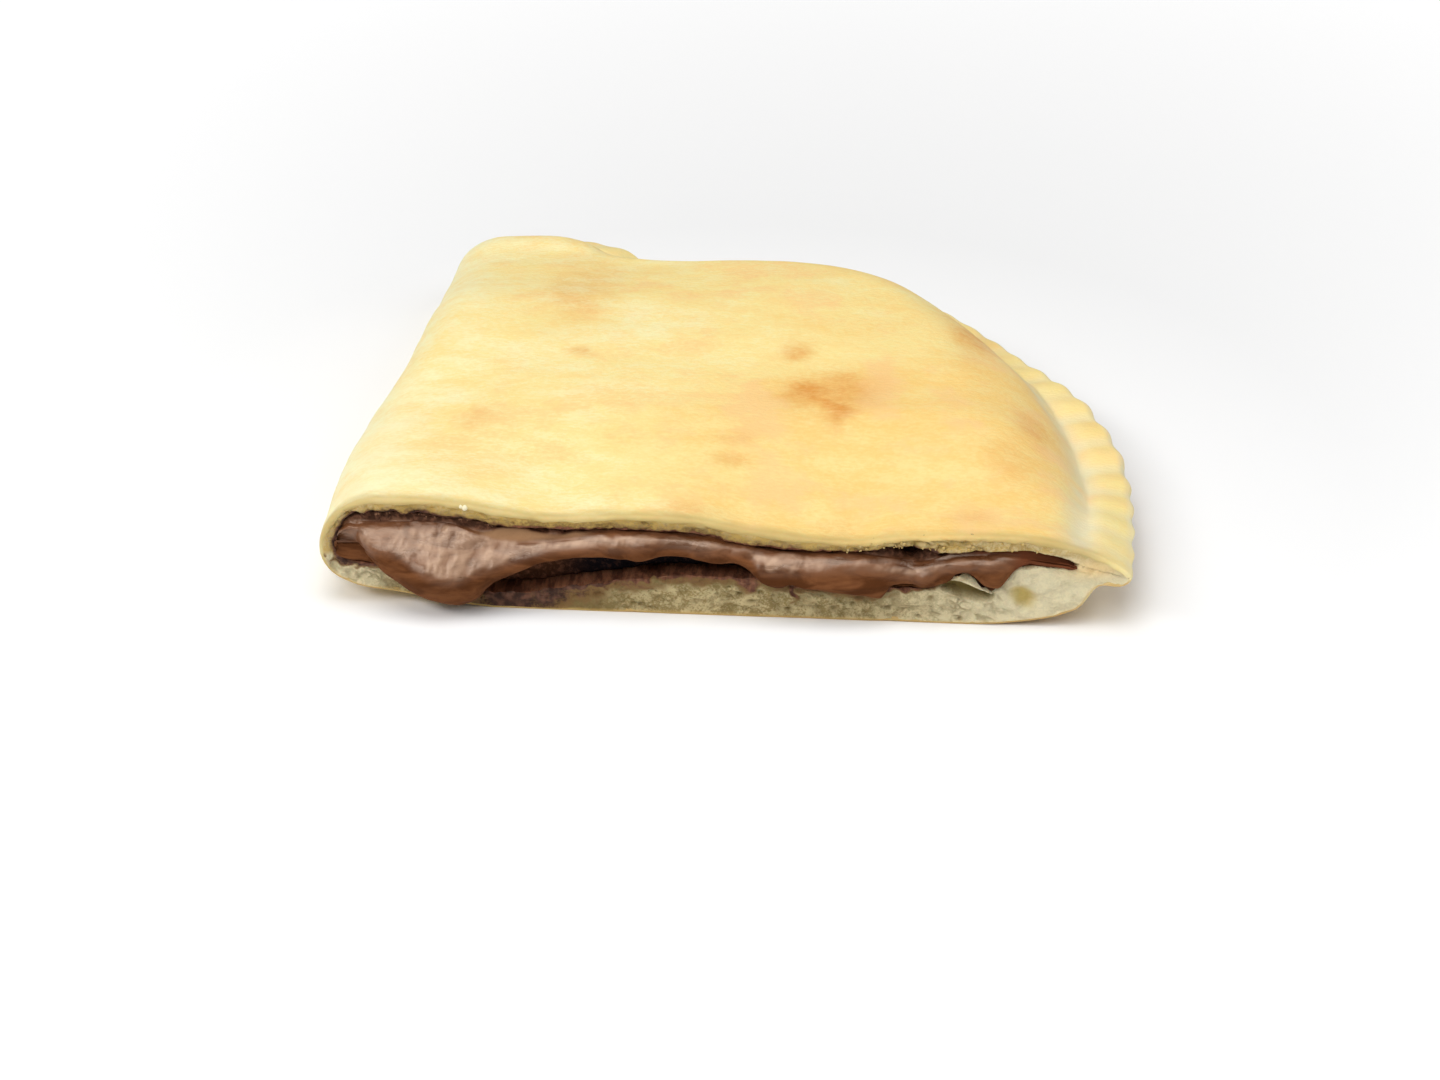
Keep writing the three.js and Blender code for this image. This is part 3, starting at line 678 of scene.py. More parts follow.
def crust_finish():
    """Golden skin: pale to golden by mask and mottle, toasted at the blisters, greyer where pressed."""
    material, tree, shader = new_material("golden_crust", Subsurface_Weight=0.12, Subsurface_Scale=0.0015,
                                          Specular_IOR_Level=0.35)
    mottle = mottled(tree, **CRUST_MOTTLE)
    tone = combined(tree, "ADD", mask_of(tree, "golden"), spread(tree, mottle["Tone"], 0.34, 0.66, -0.13, 0.2))
    colour = blended(tree, spread(tree, tone, -0.2, 0.4), PALE_SKIN, YELLOW_SKIN)
    colour = blended(tree, spread(tree, tone, 0.25, 1.0), colour, GOLDEN_SKIN)
    cloudy = noise(tree, object_place(tree), CLOUDS_SCALE, 4, 0.6)
    peachy = product(tree, spread(tree, cloudy, 0.46, 0.62), spread(tree, tone, 0.1, 0.7, 0.15, 0.85))
    colour = blended(tree, peachy, colour, PEACH_SKIN)
    uneven = spread(tree, mottle["Tone"], 0.3, 0.7, 0.6, 1.35)
    frayed = combined(tree, "MULTIPLY", mask_of(tree, "toast"), uneven, use_clamp=True)
    colour = blended(tree, frayed, colour, TOASTED_SKIN)
    colour = blended(tree, spread(tree, mask_of(tree, "inward"), 7.5, 5.0, 0.0, 0.6), colour, LOBE_SKIN)
    colour = blended(tree, mask_of(tree, "pressed"), colour, PRESSED_SKIN)
    # The cut's lip: olive-brown edge of the skin, with painted shade over the top.
    colour = blended(tree, product(tree, mask_of(tree, "lip"), 0.95), colour, LIP_AND_SHADE_COLOUR)
    bottom = product(tree, mask_of(tree, "under"), spread(tree, tone, -0.2, 0.8, 0.6, 0.95))
    colour = blended(tree, bottom, colour, BOTTOM_SKIN)
    tree.links.new(colour, shader.inputs["Base Color"])
    tree.links.new(spread(tree, mottle["Tone"], 0.3, 0.7, 0.52, 0.72), shader.inputs["Roughness"])
    bumped(tree, shader, mottle["Height"], 0.35, 0.0004)
    return material


crust.data.materials.append(crust_finish())

# ---- crumb and pocket lining ----------------------------------------------------------------------------
# The inside of the dough where the knife opened it: a torn, close crumb under a thin skin, and the pocket it
# grew round the spread, whose walls have soaked up chocolate.
CUT_SHEET_TOP = [[0, 1.9], [6, 2.5], [14, 2.65], [22, 2.8], [30, 2.8], [38, 2.2], [46, 2.6], [62, 2.8],
                 [72, 2.7], [86, 2.0], [94, 2.3], [102, 3.1], [108, 2.7], [116, 2.3], [122, 2.4], [132, 3]]
CUT_FLOOR = [[0, 7.4], [10, 7.2], [20, 4.4], [29, 2.7], [43, 4.5], [57, 6.8], [70, 6.9], [84, 6.2],
             [95, 6.2], [100, 6.8], [103, 9], [105, 9.2], [108, 6.9], [110, 7], [112, 9.9], [115, 12],
             [119, 11.8], [123, 11]]
SHEET_TOP = 3
SHEET_BOTTOM = 5.8
SEAL_WIDTH = {"right": 9.2, "back": 18}
POCKET_LEFT = 2.6
CAVE_IN_SHEET = {"at": 95.5, "half": 2.3, "high": 0.6}

CRUMB_TOP_POINTS = 480
CRUMB_HIDDEN_ROWS = 26
CRUMB_FACE_ROWS = 48
CRUMB_UNDER_SKIN = 0.35
FACE_INSET = {"top": 0.7, "bottom": 0.28}  # the crumb's face begins this far in from the dough's outline
LINING_DEPTHS = [0.2, 0.45, 0.75, 1.1, 1.5, 2, 2.5, 3, 3.5, 4, 4.5, 5, 5.5, 6, 6.5, 7, 7.5, 8, 8.5, 9, 9.5, 10,
                 10.6, 11.3, 12.1, 13, 14]
LINING_SHARES = [0.1, 0.25, 0.45, 0.65, 0.8, 0.9, 0.96, 0.99, 1]
FACE_SAMPLES = 3000
CELLS = 1500  # lumps of crumb on the face, with gaps between them
PORES = 150
SLIT = {"from": (101.6, 6.9), "to": (108.2, 5.6), "half": 1.95, "deep": 2.0}
FLAP = {"from": (103.6, 9.0), "to": (108.8, 6.3), "half": 0.55, "high": 1.0}
EGGY_PORE = {"at": (114.1, 5.3), "half": (2.0, 1.8), "deep": 0.8}
# Chocolate wiped over the crumb's face, as x, z, half length, half height and strength. The first three, beside
# the drip, are also painted shadow where the drip shades the crumb.
SMEARS = [[31, 2, 7, 4, 1.0], [37, 2.5, 5, 3, 0.85], [42, 3.5, 5, 2, 0.65], [50, 5.2, 6, 1.3, 0.65],
          [62, 6.4, 7, 1.1, 0.65], [69.8, 6, 1.9, 1.9, 1.0], [77.2, 5, 0.8, 1.9, 1.0],
          [80, 5.6, 9, 1.1, 0.65], [88, 4.8, 5, 1.1, 0.65], [5, 7.5, 4.5, 0.5, 0.8],
          [0.7, 9.1, 0.45, 0.4, 0.8], [97, 6.6, 4, 0.5, 0.4]]

cut_sheet_top = curve_through(CUT_SHEET_TOP)
cut_floor = curve_through(CUT_FLOOR)
pocket_right = RIM_REACH - SEAL_WIDTH["right"]


def pocket_back(x):
    """How far back the pocket reaches at x: a superellipse inside the rim's."""
    share = clamp01(x / (pocket_right + 0.5))
    return RIM_MIDDLE_Y + (RIM_BACK - SEAL_WIDTH["back"]) * (1 - share**RIM_POWER) ** (1 / RIM_POWER)


def pocket_wall(x, y, side, clear=0.0):
    """The pocket's ceiling (side 1) or floor (side -1), whose ends close in a round edge at middle height."""
    middle = mix(9.3, 11.3, ease(20, 120, x))
    share = into_body(y)
    cave = CAVE_IN_SHEET["high"] * bump(x - CAVE_IN_SHEET["at"], CAVE_IN_SHEET["half"]) * ease(7, 2, y)
    ceiling = mix(cut_top(x) - cut_sheet_top(x), puffed(x, y) - SHEET_TOP, share)
    floor_z = mix(cut_floor(x), cut_bottom(x) + SHEET_BOTTOM, share)
    up = np.maximum(ceiling, middle + 0.6) + cave
    to = np.where(side > 0, up, np.minimum(floor_z, middle - 0.4))
    close = round_off(x - POCKET_LEFT, 5) * round_off(pocket_right - x, 5) * round_off(pocket_back(x) - y, 9)
    leaning = x + fold_line(y) * (1 - x / pocket_right)
    return np.stack([leaning, y + 0 * x, mix(middle, to, close) + side * (0.05 - clear)], -1)


def to_segment(x, z, start, end):
    """Distance from points of the cut face to a straight segment, and how far along it they are."""
    along = np.array(end, float) - start
    share = clamp01(((x - start[0]) * along[0] + (z - start[1]) * along[1]) / (along @ along))
    return np.hypot(x - start[0] - share * along[0], z - start[1] - share * along[1]), share


def cell_gaps(x, z, count, seed):
    """1 half-way between scattered lumps, 0 inside them: how alike the two nearest distances are."""
    draw = np.random.default_rng(seed)
    seed_x, seed_z = draw.uniform(-2, 134, count), draw.uniform(-1, 20, count)
    flat_x, flat_z = x.ravel(), z.ravel()
    gap = np.empty(flat_x.size)
    for part in np.array_split(np.arange(flat_x.size), 24):
        away = np.hypot(flat_x[part, None] - seed_x, 1.25 * (flat_z[part, None] - seed_z))
        nearest = np.partition(away, 1, axis=1)[:, :2]
        gap[part] = nearest[:, 1] - nearest[:, 0]
    return ease(0.75, 0.0, gap).reshape(x.shape)


def crumb_relief(x, z):
    """Depth of the cut face into the dough and the painted shade of its hollows: torn lumps with gaps between
    them, scattered oval pores, the slit with its flap of crumb, and one big pore near the rim."""
    flat = np.stack([x, z, 0 * x], -1)
    bent_x, bent_z = x + 0.7 * lumps(flat, (1.1, 1.1, 1), 26), z + 0.5 * lumps(flat, (1.1, 1.1, 1), 27)
    gaps = cell_gaps(bent_x, bent_z, CELLS, 28) * ease(-0.25, 0.4, lumps(flat, (1.7, 1.3, 1), 29))
    dense = ease(106, 116, x)
    depth = 0.1 + 0.24 * lumps(flat, (2.8, 1.9, 1), 21) + 0.13 * lumps(flat, (1.1, 0.8, 1), 22)
    depth += 0.07 * lumps(flat, (0.5, 0.42, 1), 23) + 0.3 * gaps * (1 - 0.75 * dense)
    draw = np.random.default_rng(24)
    pore_x = draw.uniform(1, 111, PORES)
    pore_z = draw.uniform(0.3, 18, PORES)
    half_x = draw.uniform(0.25, 0.8, PORES)
    half_z = half_x * draw.uniform(0.45, 0.9, PORES)
    hollow = np.zeros(x.shape)
    for px, pz, hx, hz in zip(pore_x, pore_z, half_x, half_z):
        hollow = np.maximum(hollow, bump(np.hypot((x - px) / hx, (z - pz) / hz), 1.0) * (0.45 + 0.55 * hx))
    depth += 0.7 * hollow
    away, along = to_segment(x, z, SLIT["from"], SLIT["to"])
    slit = ease(1, 0.35, away / (SLIT["half"] * (0.55 + 0.9 * along * (1.3 - along))))
    away, along = to_segment(x, z, FLAP["from"], FLAP["to"])
    flap = bump(away, FLAP["half"])
    (ex, ez), (ehx, ehz) = EGGY_PORE["at"], EGGY_PORE["half"]
    eggy = np.exp(-(np.hypot((mix(x, bent_x, 0.5) - ex) / ehx, (z - ez + 0.25 * (x - ex)) / ehz) ** 4))
    depth += SLIT["deep"] * slit * (1 - flap) + EGGY_PORE["deep"] * eggy - FLAP["high"] * flap
    # The second value is painted shade, darker in the pores and in the gaps between lumps.
    return depth, np.maximum(hollow, 0.5 * gaps * (1 - 0.6 * dense)), slit * (1 - flap), eggy


def smeared(x, z):
    """How much chocolate was wiped over the crumb's face, with painted shadow beside the drip: frayed bells at
    the smears.
    """
    flat = np.stack([x, z, 0 * x], -1)
    bent_x, bent_z = x + 0.9 * lumps(flat, (1.8, 1.2, 1), 37), z + 0.5 * lumps(flat, (1.2, 1.2, 1), 38)
    total = np.zeros(x.shape)
    for sx, sz, half_x, half_z, strength in SMEARS:
        away = np.hypot((bent_x - sx) / half_x, (bent_z - sz) / half_z)
        total = np.maximum(total, strength * np.exp(-(away**3)))
    return total


def crumb_rings():
    """Rows of rings: a plain wall under the crust from the tip to the cut, the cut face in to the pocket's
    mouth, and the pocket's wall back to its far seam."""
    fine = np.linspace(0, 1, FACE_SAMPLES)
    distance = steps_in(np.array([RIM_REACH]), fine)[0]
    even = np.linspace(0, 1, CRUMB_TOP_POINTS)
    wanted = np.interp(even, [0, 0.05, 0.13, 0.87, 1], [0, 0.045, 0.13, 0.86, 1])
    wanted = mix(wanted, np.interp(wanted * RIM_REACH, distance, fine), 0.72)
    top = clamp01(wanted)
    bottom = top[::-1][1:-1]
    hidden_share = np.linspace(0.985, 0.012, CRUMB_HIDDEN_ROWS)
    hidden = outside(hidden_share, top, bottom)[0]
    hidden = hidden - ring_normals(hidden) * mix(CRUMB_UNDER_SKIN, 1.1, ease(1, 6, hidden[..., 1:2]))
    hidden[..., 2] = np.maximum(hidden[..., 2], CRUMB_UNDER_SKIN * 0.6)
    outline = outside(np.array([0, 0.002]), top, bottom)[0]
    inwards = -ring_normals(outline)[0]
    outline = outline[0]
    outline[:, 1] = 0

    x_mouth = outline[:, 0] + POCKET_LEFT * ease(34, 0, outline[:, 0])
    x_mouth = x_mouth - SEAL_WIDTH["right"] * ease(70, RIM_REACH, outline[:, 0])
    x_mouth = np.clip(x_mouth, POCKET_LEFT, pocket_right)
    side = np.where(np.arange(len(x_mouth)) < len(top), 1.0, -1.0)

    closed = np.maximum(ease(28, 33, x_mouth) * ease(92, 87, x_mouth), ease(101, 106, x_mouth))
    closed = np.where(side > 0, closed, np.maximum(ease(108, 112, x_mouth), ease(12, 8, x_mouth)))

    def lining(y):
        wall = pocket_wall(x_mouth, y, side)
        streaked = 0.24 * lumps(wall, (0.9, 4.5, 2), 31) + 0.16 * lumps(wall, (0.55, 0.8, 2), 32)
        soaked = (0.35 * lumps(wall, (3.2, 3.2, 3), 33) + streaked) * (1 - 0.8 * closed)
        swollen = side * (mix(0.35, 0, closed) + soaked) * ease(0, 0.8, y)
        wall[:, 2] += swollen * round_off(x_mouth - POCKET_LEFT, 3)
        return wall

    mouth = pocket_wall(x_mouth, 0 * x_mouth, side)
    torn = mix(0.32, 1.1, ease(32, 14, x_mouth) + 0.6 * ease(84, 92, x_mouth) * ease(114, 104, x_mouth))
    torn = np.where(side > 0, torn, 1.0)
    ragged = torn * (0.32 * lumps(mouth, (1.3, 1, 1.3), 34) + 0.2 * lumps(mouth, (0.6, 1, 0.6), 35))
    mouth[:, 2] += side * ragged * round_off(x_mouth - POCKET_LEFT, 4) * round_off(pocket_right - x_mouth, 4)
    inset = mix(FACE_INSET["bottom"], FACE_INSET["top"], ease(0.7, -0.1, inwards[:, 2:3]))
    start = outline + inwards * inset
    start[:, 1] = 0
    across = np.linspace(0, 1, CRUMB_FACE_ROWS)[:, None]
    face = mix(start[None], mouth[None], across[..., None])
    depth, hollow, slit, eggy = crumb_relief(face[..., 0], face[..., 2])
    tall = np.linalg.norm(mouth - start, axis=1)[None]
    from_skin, from_mouth = across * tall, (1 - across) * tall
    depth = depth * ease(0, 0.7, from_skin) + 0.25 * ease(0.5, 0, from_mouth) + 0.05
    face[..., 1] = depth
    under = outline + inwards * (inset * 0.6)
    under[:, 1] = 0.35
    behind = outline + inwards * np.minimum(CRUMB_UNDER_SKIN, inset)
    behind[:, 1] = 1.0

    depths = [np.full(x_mouth.shape, y) for y in LINING_DEPTHS]
    last = LINING_DEPTHS[-1]
    shallow = np.minimum(clamp01((pocket_back(x_mouth) - 1) / (last + 1)), 1)
    depths = [y * shallow for y in depths]
    depths += [mix(depths[len(LINING_DEPTHS) - 1], pocket_back(x_mouth), share) for share in LINING_SHARES]
    walls_in = np.stack([lining(y) for y in depths])
    walls_in[..., 1] += face[-1, :, 1] * ease(3, 0, walls_in[..., 1])
    rows = np.concatenate([hidden, behind[None], under[None], face, walls_in])

    plain = np.zeros((len(hidden) + 2, rows.shape[1]))
    inner = np.ones(walls_in.shape[:2])
    frayed = from_mouth + 0.5 * lumps(face, (1.2, 1, 0.8), 36)
    upper = np.where(side > 0, ease(124, 112, x_mouth), 0.0)
    rim_of_mouth = ease(np.where(side > 0, mix(1.3, 0.75, closed), 1.1), 0.0, frayed)
    browned = mix(0.38, 0.2, bump(x_mouth - 101, 10)) * ease(2.2, 0.3, from_mouth)
    rim_of_mouth = np.maximum(rim_of_mouth, np.where(side > 0, browned, 0))
    rim_of_mouth = rim_of_mouth * np.where(side < 0, mix(1, 0.3, ease(99, 103, x_mouth)), 1)
    stain_and_shadow = smeared(face[..., 0], face[..., 2])
    # Painted shade on the crumb where the drip's shadow falls, from x 27 to about 58, and a painted shadow
    # along the pocket's lower lip.
    shaded = 0.95 * ease(58, 44, face[..., 0] + 3 * lumps(face, (2.5, 1, 2.5), 39))
    shaded = shaded * ease(27, 33, face[..., 0])
    painted_lip_shadow = 0.75 * ease(2.6, 0.5, from_mouth + 0.5 * lumps(face, (2, 1, 2), 40))
    painted_lip_shadow = painted_lip_shadow * ease(27, 33, x_mouth) * ease(96, 90, x_mouth)
    shaded = np.maximum(shaded, np.where(side < 0, painted_lip_shadow, 0))
    under_skin = ease(mix(0.5, 1.0, upper), 0.0, from_skin) * mix(0.3, 0.12, upper)
    tan_seam = 0.5 * bump(face[..., 0] - 125, 4.5) * bump(face[..., 2] - 10.9, 1.7)
    reddish = np.where(side > 0, 0.75 * closed, ease(44, 50, x_mouth) * 0.6)

    def rows_of(on_face, behind_crust=0, in_pocket=0):
        return np.concatenate([plain + behind_crust, 0 * across + on_face, 0 * inner + in_pocket])

    masks = {
        "soaked": rows_of(np.maximum(rim_of_mouth, stain_and_shadow), in_pocket=1),
        # hollow: painted shade, in the pores and gaps and where shadows fall on the crumb
        "hollow": rows_of(clamp01(np.maximum(hollow, shaded))),
        "slit": rows_of(slit),
        "eggy": rows_of(eggy),
        "skin": rows_of(np.maximum(under_skin, tan_seam), behind_crust=1),
        "upper": rows_of(upper),
        "pale": rows_of(np.maximum(ease(84, 116, face[..., 0]), 0.7 * ease(14, 7, face[..., 0]))),
        "ground": rows_of(reddish, in_pocket=np.where(side > 0, reddish, 1.0)),
    }
    return rows, masks


crumb_rows, crumb_masks = crumb_rings()
crumb = skinned("crumb_and_lining", crumb_rows, crumb_masks)
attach(crumb, "root")
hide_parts("dough")

CRUMB_COLOUR = (0.29, 0.215, 0.085, 1)
CRUMB_LIGHT = (0.56, 0.455, 0.24, 1)
CRUMB_PALE = (0.86, 0.78, 0.53, 1)
# Painted shade on the crumb: pores, gaps between lumps, the drip's shadow and the shadow under the pocket's
# lip.
CRUMB_SHADE = (0.17, 0.115, 0.035, 1)
SHEET_COLOUR = (0.50, 0.33, 0.085, 1)
STAIN_COLOUR = (0.20, 0.108, 0.034, 1)
# The pocket floor's reddish stain, painted lighter than the soaked ceiling to stand for the light that reaches
# the floor of the hollow; the closed seams under the top sheet use it too.
GROUND_DARK = (0.13, 0.045, 0.022, 1)
GROUND_LIGHT = (0.33, 0.135, 0.066, 1)
EGGY_COLOUR = (0.50, 0.36, 0.08, 1)
# Dark olive painted shade inside the slit.
SLIT_SHADE_COLOUR = (0.22, 0.16, 0.045, 1)
SOAKED_COLOUR = (0.050, 0.020, 0.011, 1)
SOAKED_LIGHT = (0.18, 0.078, 0.045, 1)
CRUMB_MOTTLE = {"scale": 470, "stretch": (1.0, 1.0, 1.1)}
LINING_STREAKS = {"scale": 900, "stretch": (1.0, 0.22, 0.6)}
CLOTS_SCALE = 620


def crumb_finish():
    """Cream crumb with painted shade in its pores and where shadows fall, golden under the skin,
    chocolate-brown where it soaked up spread.
    """
    material, tree, shader = new_material("cut_crumb", Subsurface_Weight=0.1, Subsurface_Scale=0.0008,
                                          Specular_IOR_Level=0.3)
    mottle = mottled(tree, **CRUMB_MOTTLE)
    tone = spread(tree, mottle["Tone"], 0.42, 0.58)
    colour = blended(tree, tone, CRUMB_COLOUR, CRUMB_LIGHT)
    colour = blended(tree, product(tree, mask_of(tree, "pale"), 0.7), colour, CRUMB_PALE)
    # Painted shade: pores, gaps, the drip's shadow and the shadow under the lip.
    colour = blended(tree, product(tree, mask_of(tree, "hollow"), 0.9), colour, CRUMB_SHADE)
    sheet = product(tree, mask_of(tree, "upper"), spread(tree, tone, 0.0, 1.0, 0.85, 0.55))
    colour = blended(tree, sheet, colour, SHEET_COLOUR)
    colour = blended(tree, mask_of(tree, "skin"), colour, GOLDEN_SKIN)
    colour = blended(tree, mask_of(tree, "slit"), colour, SLIT_SHADE_COLOUR)
    colour = blended(tree, product(tree, mask_of(tree, "eggy"), 0.85), colour, EGGY_COLOUR)
    streaks = noise(tree, object_place(tree, LINING_STREAKS["stretch"]), LINING_STREAKS["scale"], 3, 0.6)
    clots = noise(tree, object_place(tree), CLOTS_SCALE, 2, 0.5)
    brown = blended(tree, spread(tree, clots, 0.4, 0.72), SOAKED_COLOUR, SOAKED_LIGHT)
    # The floor's stain is painted lighter than the soaked walls: painted light in the hollow.
    ground = blended(tree, spread(tree, streaks, 0.38, 0.62), GROUND_DARK, GROUND_LIGHT)
    brown = blended(tree, mask_of(tree, "ground"), brown, ground)
    uneven = spread(tree, mottle["Tone"], 0.35, 0.65, -0.18, 0.12)
    frayed = combined(tree, "ADD", mask_of(tree, "soaked"), uneven, use_clamp=True)
    colour = blended(tree, spread(tree, frayed, 0.05, 0.55, 0.0, 0.9), colour, STAIN_COLOUR)
    colour = blended(tree, spread(tree, frayed, 0.5, 0.85), colour, brown)
    tree.links.new(colour, shader.inputs["Base Color"])
    tree.links.new(spread(tree, mask_of(tree, "soaked"), 0.0, 1.0, 0.8, 0.68), shader.inputs["Roughness"])
    bumped(tree, shader, mottle["Height"], 0.6, 0.0004)
    return material


crumb.data.materials.append(crumb_finish())

# ---- chocolate ------------------------------------------------------------------------------------------
# Chocolate and hazelnut spread that fills the pocket. Warm from the oven it ran out at the cut: a broad drip
# near the fold, a strand with a hollow under it, and a thick roll on the bottom sheet.
STATIONS = 620
GAP = 0.12  # to the pocket's walls
# The free face at x: where it leaves the torn top, the top of the rope under it, the rope's lower edge, and
# how far the rope stands out of the cut.
FACE_TOP = [[2.6, 12.6], [3.5, 14], [5, 14.9], [6.2, 15], [9, 14.9], [13, 15], [17, 15.1], [20, 15.2],
            [24, 14.5], [27, 13.9], [30, 14.6], [33, 14.7], [36, 13.9], [39, 13.7], [42, 14.3], [45, 14.4],
            [50, 14.6], [53, 14.7], [58, 14.5], [62, 14.2], [66, 13.8], [69, 13.2], [71, 12.6], [74, 11.9],
            [80, 11.9], [86, 11.9], [89, 11.8], [93, 11.5], [97, 11], [99, 11.3], [101, 12.1], [105, 13],
            [110, 13.6], [113, 13.6], [117, 13], [120, 12], [122, 11.2]]
ROPE_TOP = [[2.6, 12.6], [5, 14.3], [6.2, 14.3], [9, 14.8], [13, 15], [19, 15.2], [22, 14.9], [25, 14],
            [28, 13], [31, 12.5], [34, 12.6], [37, 12.9], [41, 13.4], [45, 14.1], [47, 14.8], [50, 15.1],
            [94, 15.1], [98, 11.6], [101, 11.4], [105, 12.2], [110, 12.8], [113, 12.6], [117, 12.1],
            [122, 11.4]]
ROPE_LOW = [[2.6, 11.2], [6, 11.3], [6.8, 11.4], [7.6, 10.9], [8.4, 9.7], [9.6, 8.2], [10.8, 7.1],
            [12, 6.2], [14, 4.9], [17, 3.1], [20, 2], [23, 1.7], [25, 2.2], [26.2, 3.1], [27.4, 4.5],
            [29, 6], [31, 6.9], [34, 8.3], [37, 9.5], [40, 10.1], [44, 10.5], [48, 10.5], [52, 10.2],
            [54, 10.6], [56, 11.1], [59, 11.1], [62, 10.6], [65, 10.2], [68, 10.2], [69.6, 9.6], [71, 8.1],
            [73, 6.8], [75, 6.4], [77, 6.7], [80, 6.5], [85, 5.9], [88, 5.4], [91.2, 4.8], [92.1, 5.8],
            [93, 7], [96, 7.3], [98, 7.2], [100, 7.3], [102, 8], [103.4, 9.5], [105, 9.8], [106.6, 8.7],
            [108, 7.6], [110, 7.4], [111, 8.5], [112.4, 10.4], [114, 11.7], [117, 12.1], [122, 11.1]]
ROPE_OUT = [[2.6, -0.9], [5, -0.6], [6.4, -0.1], [7.4, 1.3], [9, 2.6], [12, 4.3], [16, 5.4], [20, 5.7],
            [24, 5.1], [27, 4.3], [30, 3.4], [34, 2.5], [40, 1.9], [46, 1.7], [53, 2], [57, 1.5], [60, 1.5],
            [64, 1.9], [67, 1.6], [70, 1.9], [72, 2.5], [78, 2.9], [84, 2.9], [88, 2.6], [91, 2.1],
            [93, 1.2], [95.5, 0.9], [97.6, 1.6], [99.5, 1.5], [101, 1.1], [104, 1], [107, 1.5],
            [109.5, 1.8], [111.5, 1.1], [113, 0.5], [116, -0.2], [122, -0.8]]
HOLLOW_DEPTH = 4.6  # under the rope
FACE_DEPTH = 9  # the free face is the part nearer than this to the cut
DEPTH_SHARES = [1, 0.985, 0.93, 0.82, 0.66, 0.5, 0.36, 0.24, 0.15, 0.08, 0.03, 0.0]
SEEN_SLANT = 0.54  # how far up a point behind the cut seems to lie, for each millimetre of depth
# The band where a highlight is painted into the spread's colour as a paler tone: its lower and upper edges as
# seen on the cut, and how strong it is.
HIGHLIGHT_LOW = [[7, 12.6], [9, 10.6], [11, 10.4], [14, 9.7], [16, 8], [18, 6.4], [20, 5.6], [23, 5.3],
            [26, 6.8], [30, 8.5], [33, 9.8], [36, 11], [40, 11.9], [45, 12.4], [50, 12.5], [54, 12.9],
            [58, 13.3], [62, 12.4], [66, 12.5], [69, 12.6], [70.5, 11.6], [72, 9.3], [76, 9], [82, 9.6],
            [88, 10], [92, 9.4], [94, 9.1], [97, 8.9], [99, 9.4], [101, 10.3], [104, 11.2], [108, 11.1],
            [111, 11.6], [113, 12.8], [122, 14]]
HIGHLIGHT_TOP = [[7, 13.8], [9, 14.2], [15, 14.3], [19, 14.7], [22, 15], [24, 14.7], [26, 13.5], [30, 12.7],
            [34, 12.3], [37, 12.6], [41, 13], [45, 13.7], [48, 14], [53, 14.5], [58, 14.3], [62, 13.7],
            [66, 13.3], [69, 13], [71, 12], [73, 11.8], [78, 11.6], [84, 11], [88, 11], [92, 10.8],
            [95, 10.2], [97, 10], [99, 10.4], [101, 11.1], [104, 11.7], [108, 11.7], [111, 12.1],
            [113, 12.9], [122, 14]]
HIGHLIGHT_SHARE = [[5, 0.4], [9, 0.5], [14, 0.62], [18, 0.8], [22, 0.95], [30, 0.75], [36, 0.85], [48, 1.05],
              [53, 0.8], [57, 0.55], [61, 0.5], [65, 0.75], [69, 0.4], [72, 0.9], [78, 0.9], [83, 0.5],
              [88, 0.4], [93, 0.7], [97, 0.75], [101, 0.6], [107, 0.5], [112, 0.2], [122, 0]]
# The rope's section and the drip's, from the lower edge up: how far down from its top, and how far out, as
# shares of its height and reach.
ROPE_SECTION = [[1.0, 0.45], [0.9, 0.86], [0.71, 1.0], [0.51, 0.92], [0.31, 0.66], [0.12, 0.3]]
DRIP_SECTION = [[1.0, 0.42], [0.88, 0.8], [0.66, 1.0], [0.5, 0.95], [0.3, 0.62], [0.12, 0.3]]
SECTION_POINTS = 150
# Dents and humps of the free face, as x, z, half length, half height and height.
DENTS = [[13.2, 9.4, 2.6, 2.2, -0.4], [18, 13.5, 2.2, 0.6, -0.3], [20.2, 14.3, 0.8, 1.2, -0.25],
         [10, 12, 1.8, 2, 0.25], [5, 11.0, 2.8, 0.22, -0.45], [48.6, 13.4, 1.5, 1.4, 0.4],
         [46.2, 12.4, 1.3, 2.2, -0.25], [52.6, 13.3, 2.4, 1.4, 0.4], [57.6, 12.6, 3.4, 0.6, -0.55],
         [50.4, 11.6, 0.9, 1.8, -0.35], [63.4, 13.2, 2.2, 0.9, 0.4], [67.2, 12.4, 1.1, 1.8, -0.35],
         [60.4, 12.4, 0.8, 1.6, -0.25], [70.4, 11.6, 1.3, 0.8, -0.4], [75.5, 10.9, 4, 1.1, 0.35],
         [84, 9, 7, 0.7, -0.35], [83, 7.5, 9, 0.35, 0.3], [77, 6.9, 1.2, 0.9, -0.5],
         [86.2, 9.9, 1.8, 0.6, -0.45], [88.5, 10.8, 1.6, 0.7, 0.2], [93.6, 9.8, 1.4, 1.4, -0.4],
         [98, 9.1, 1.5, 1.1, 0.5], [95.4, 9, 1.2, 1.6, -0.25], [101.6, 9.2, 1.4, 0.9, -0.45],
         [103.4, 11.2, 2.6, 0.6, 0.3], [109, 11.7, 2.6, 0.6, 0.3], [109, 9.4, 1.8, 1.2, 0.2],
         [106, 10.6, 1, 0.6, -0.3]]

face_top = curve_through(FACE_TOP)
rope_top = curve_through(ROPE_TOP)
rope_low = curve_through(ROPE_LOW)
rope_out = curve_through(ROPE_OUT)
highlight_low = curve_through(HIGHLIGHT_LOW)
highlight_top = curve_through(HIGHLIGHT_TOP)
highlight_share = curve_through(HIGHLIGHT_SHARE)


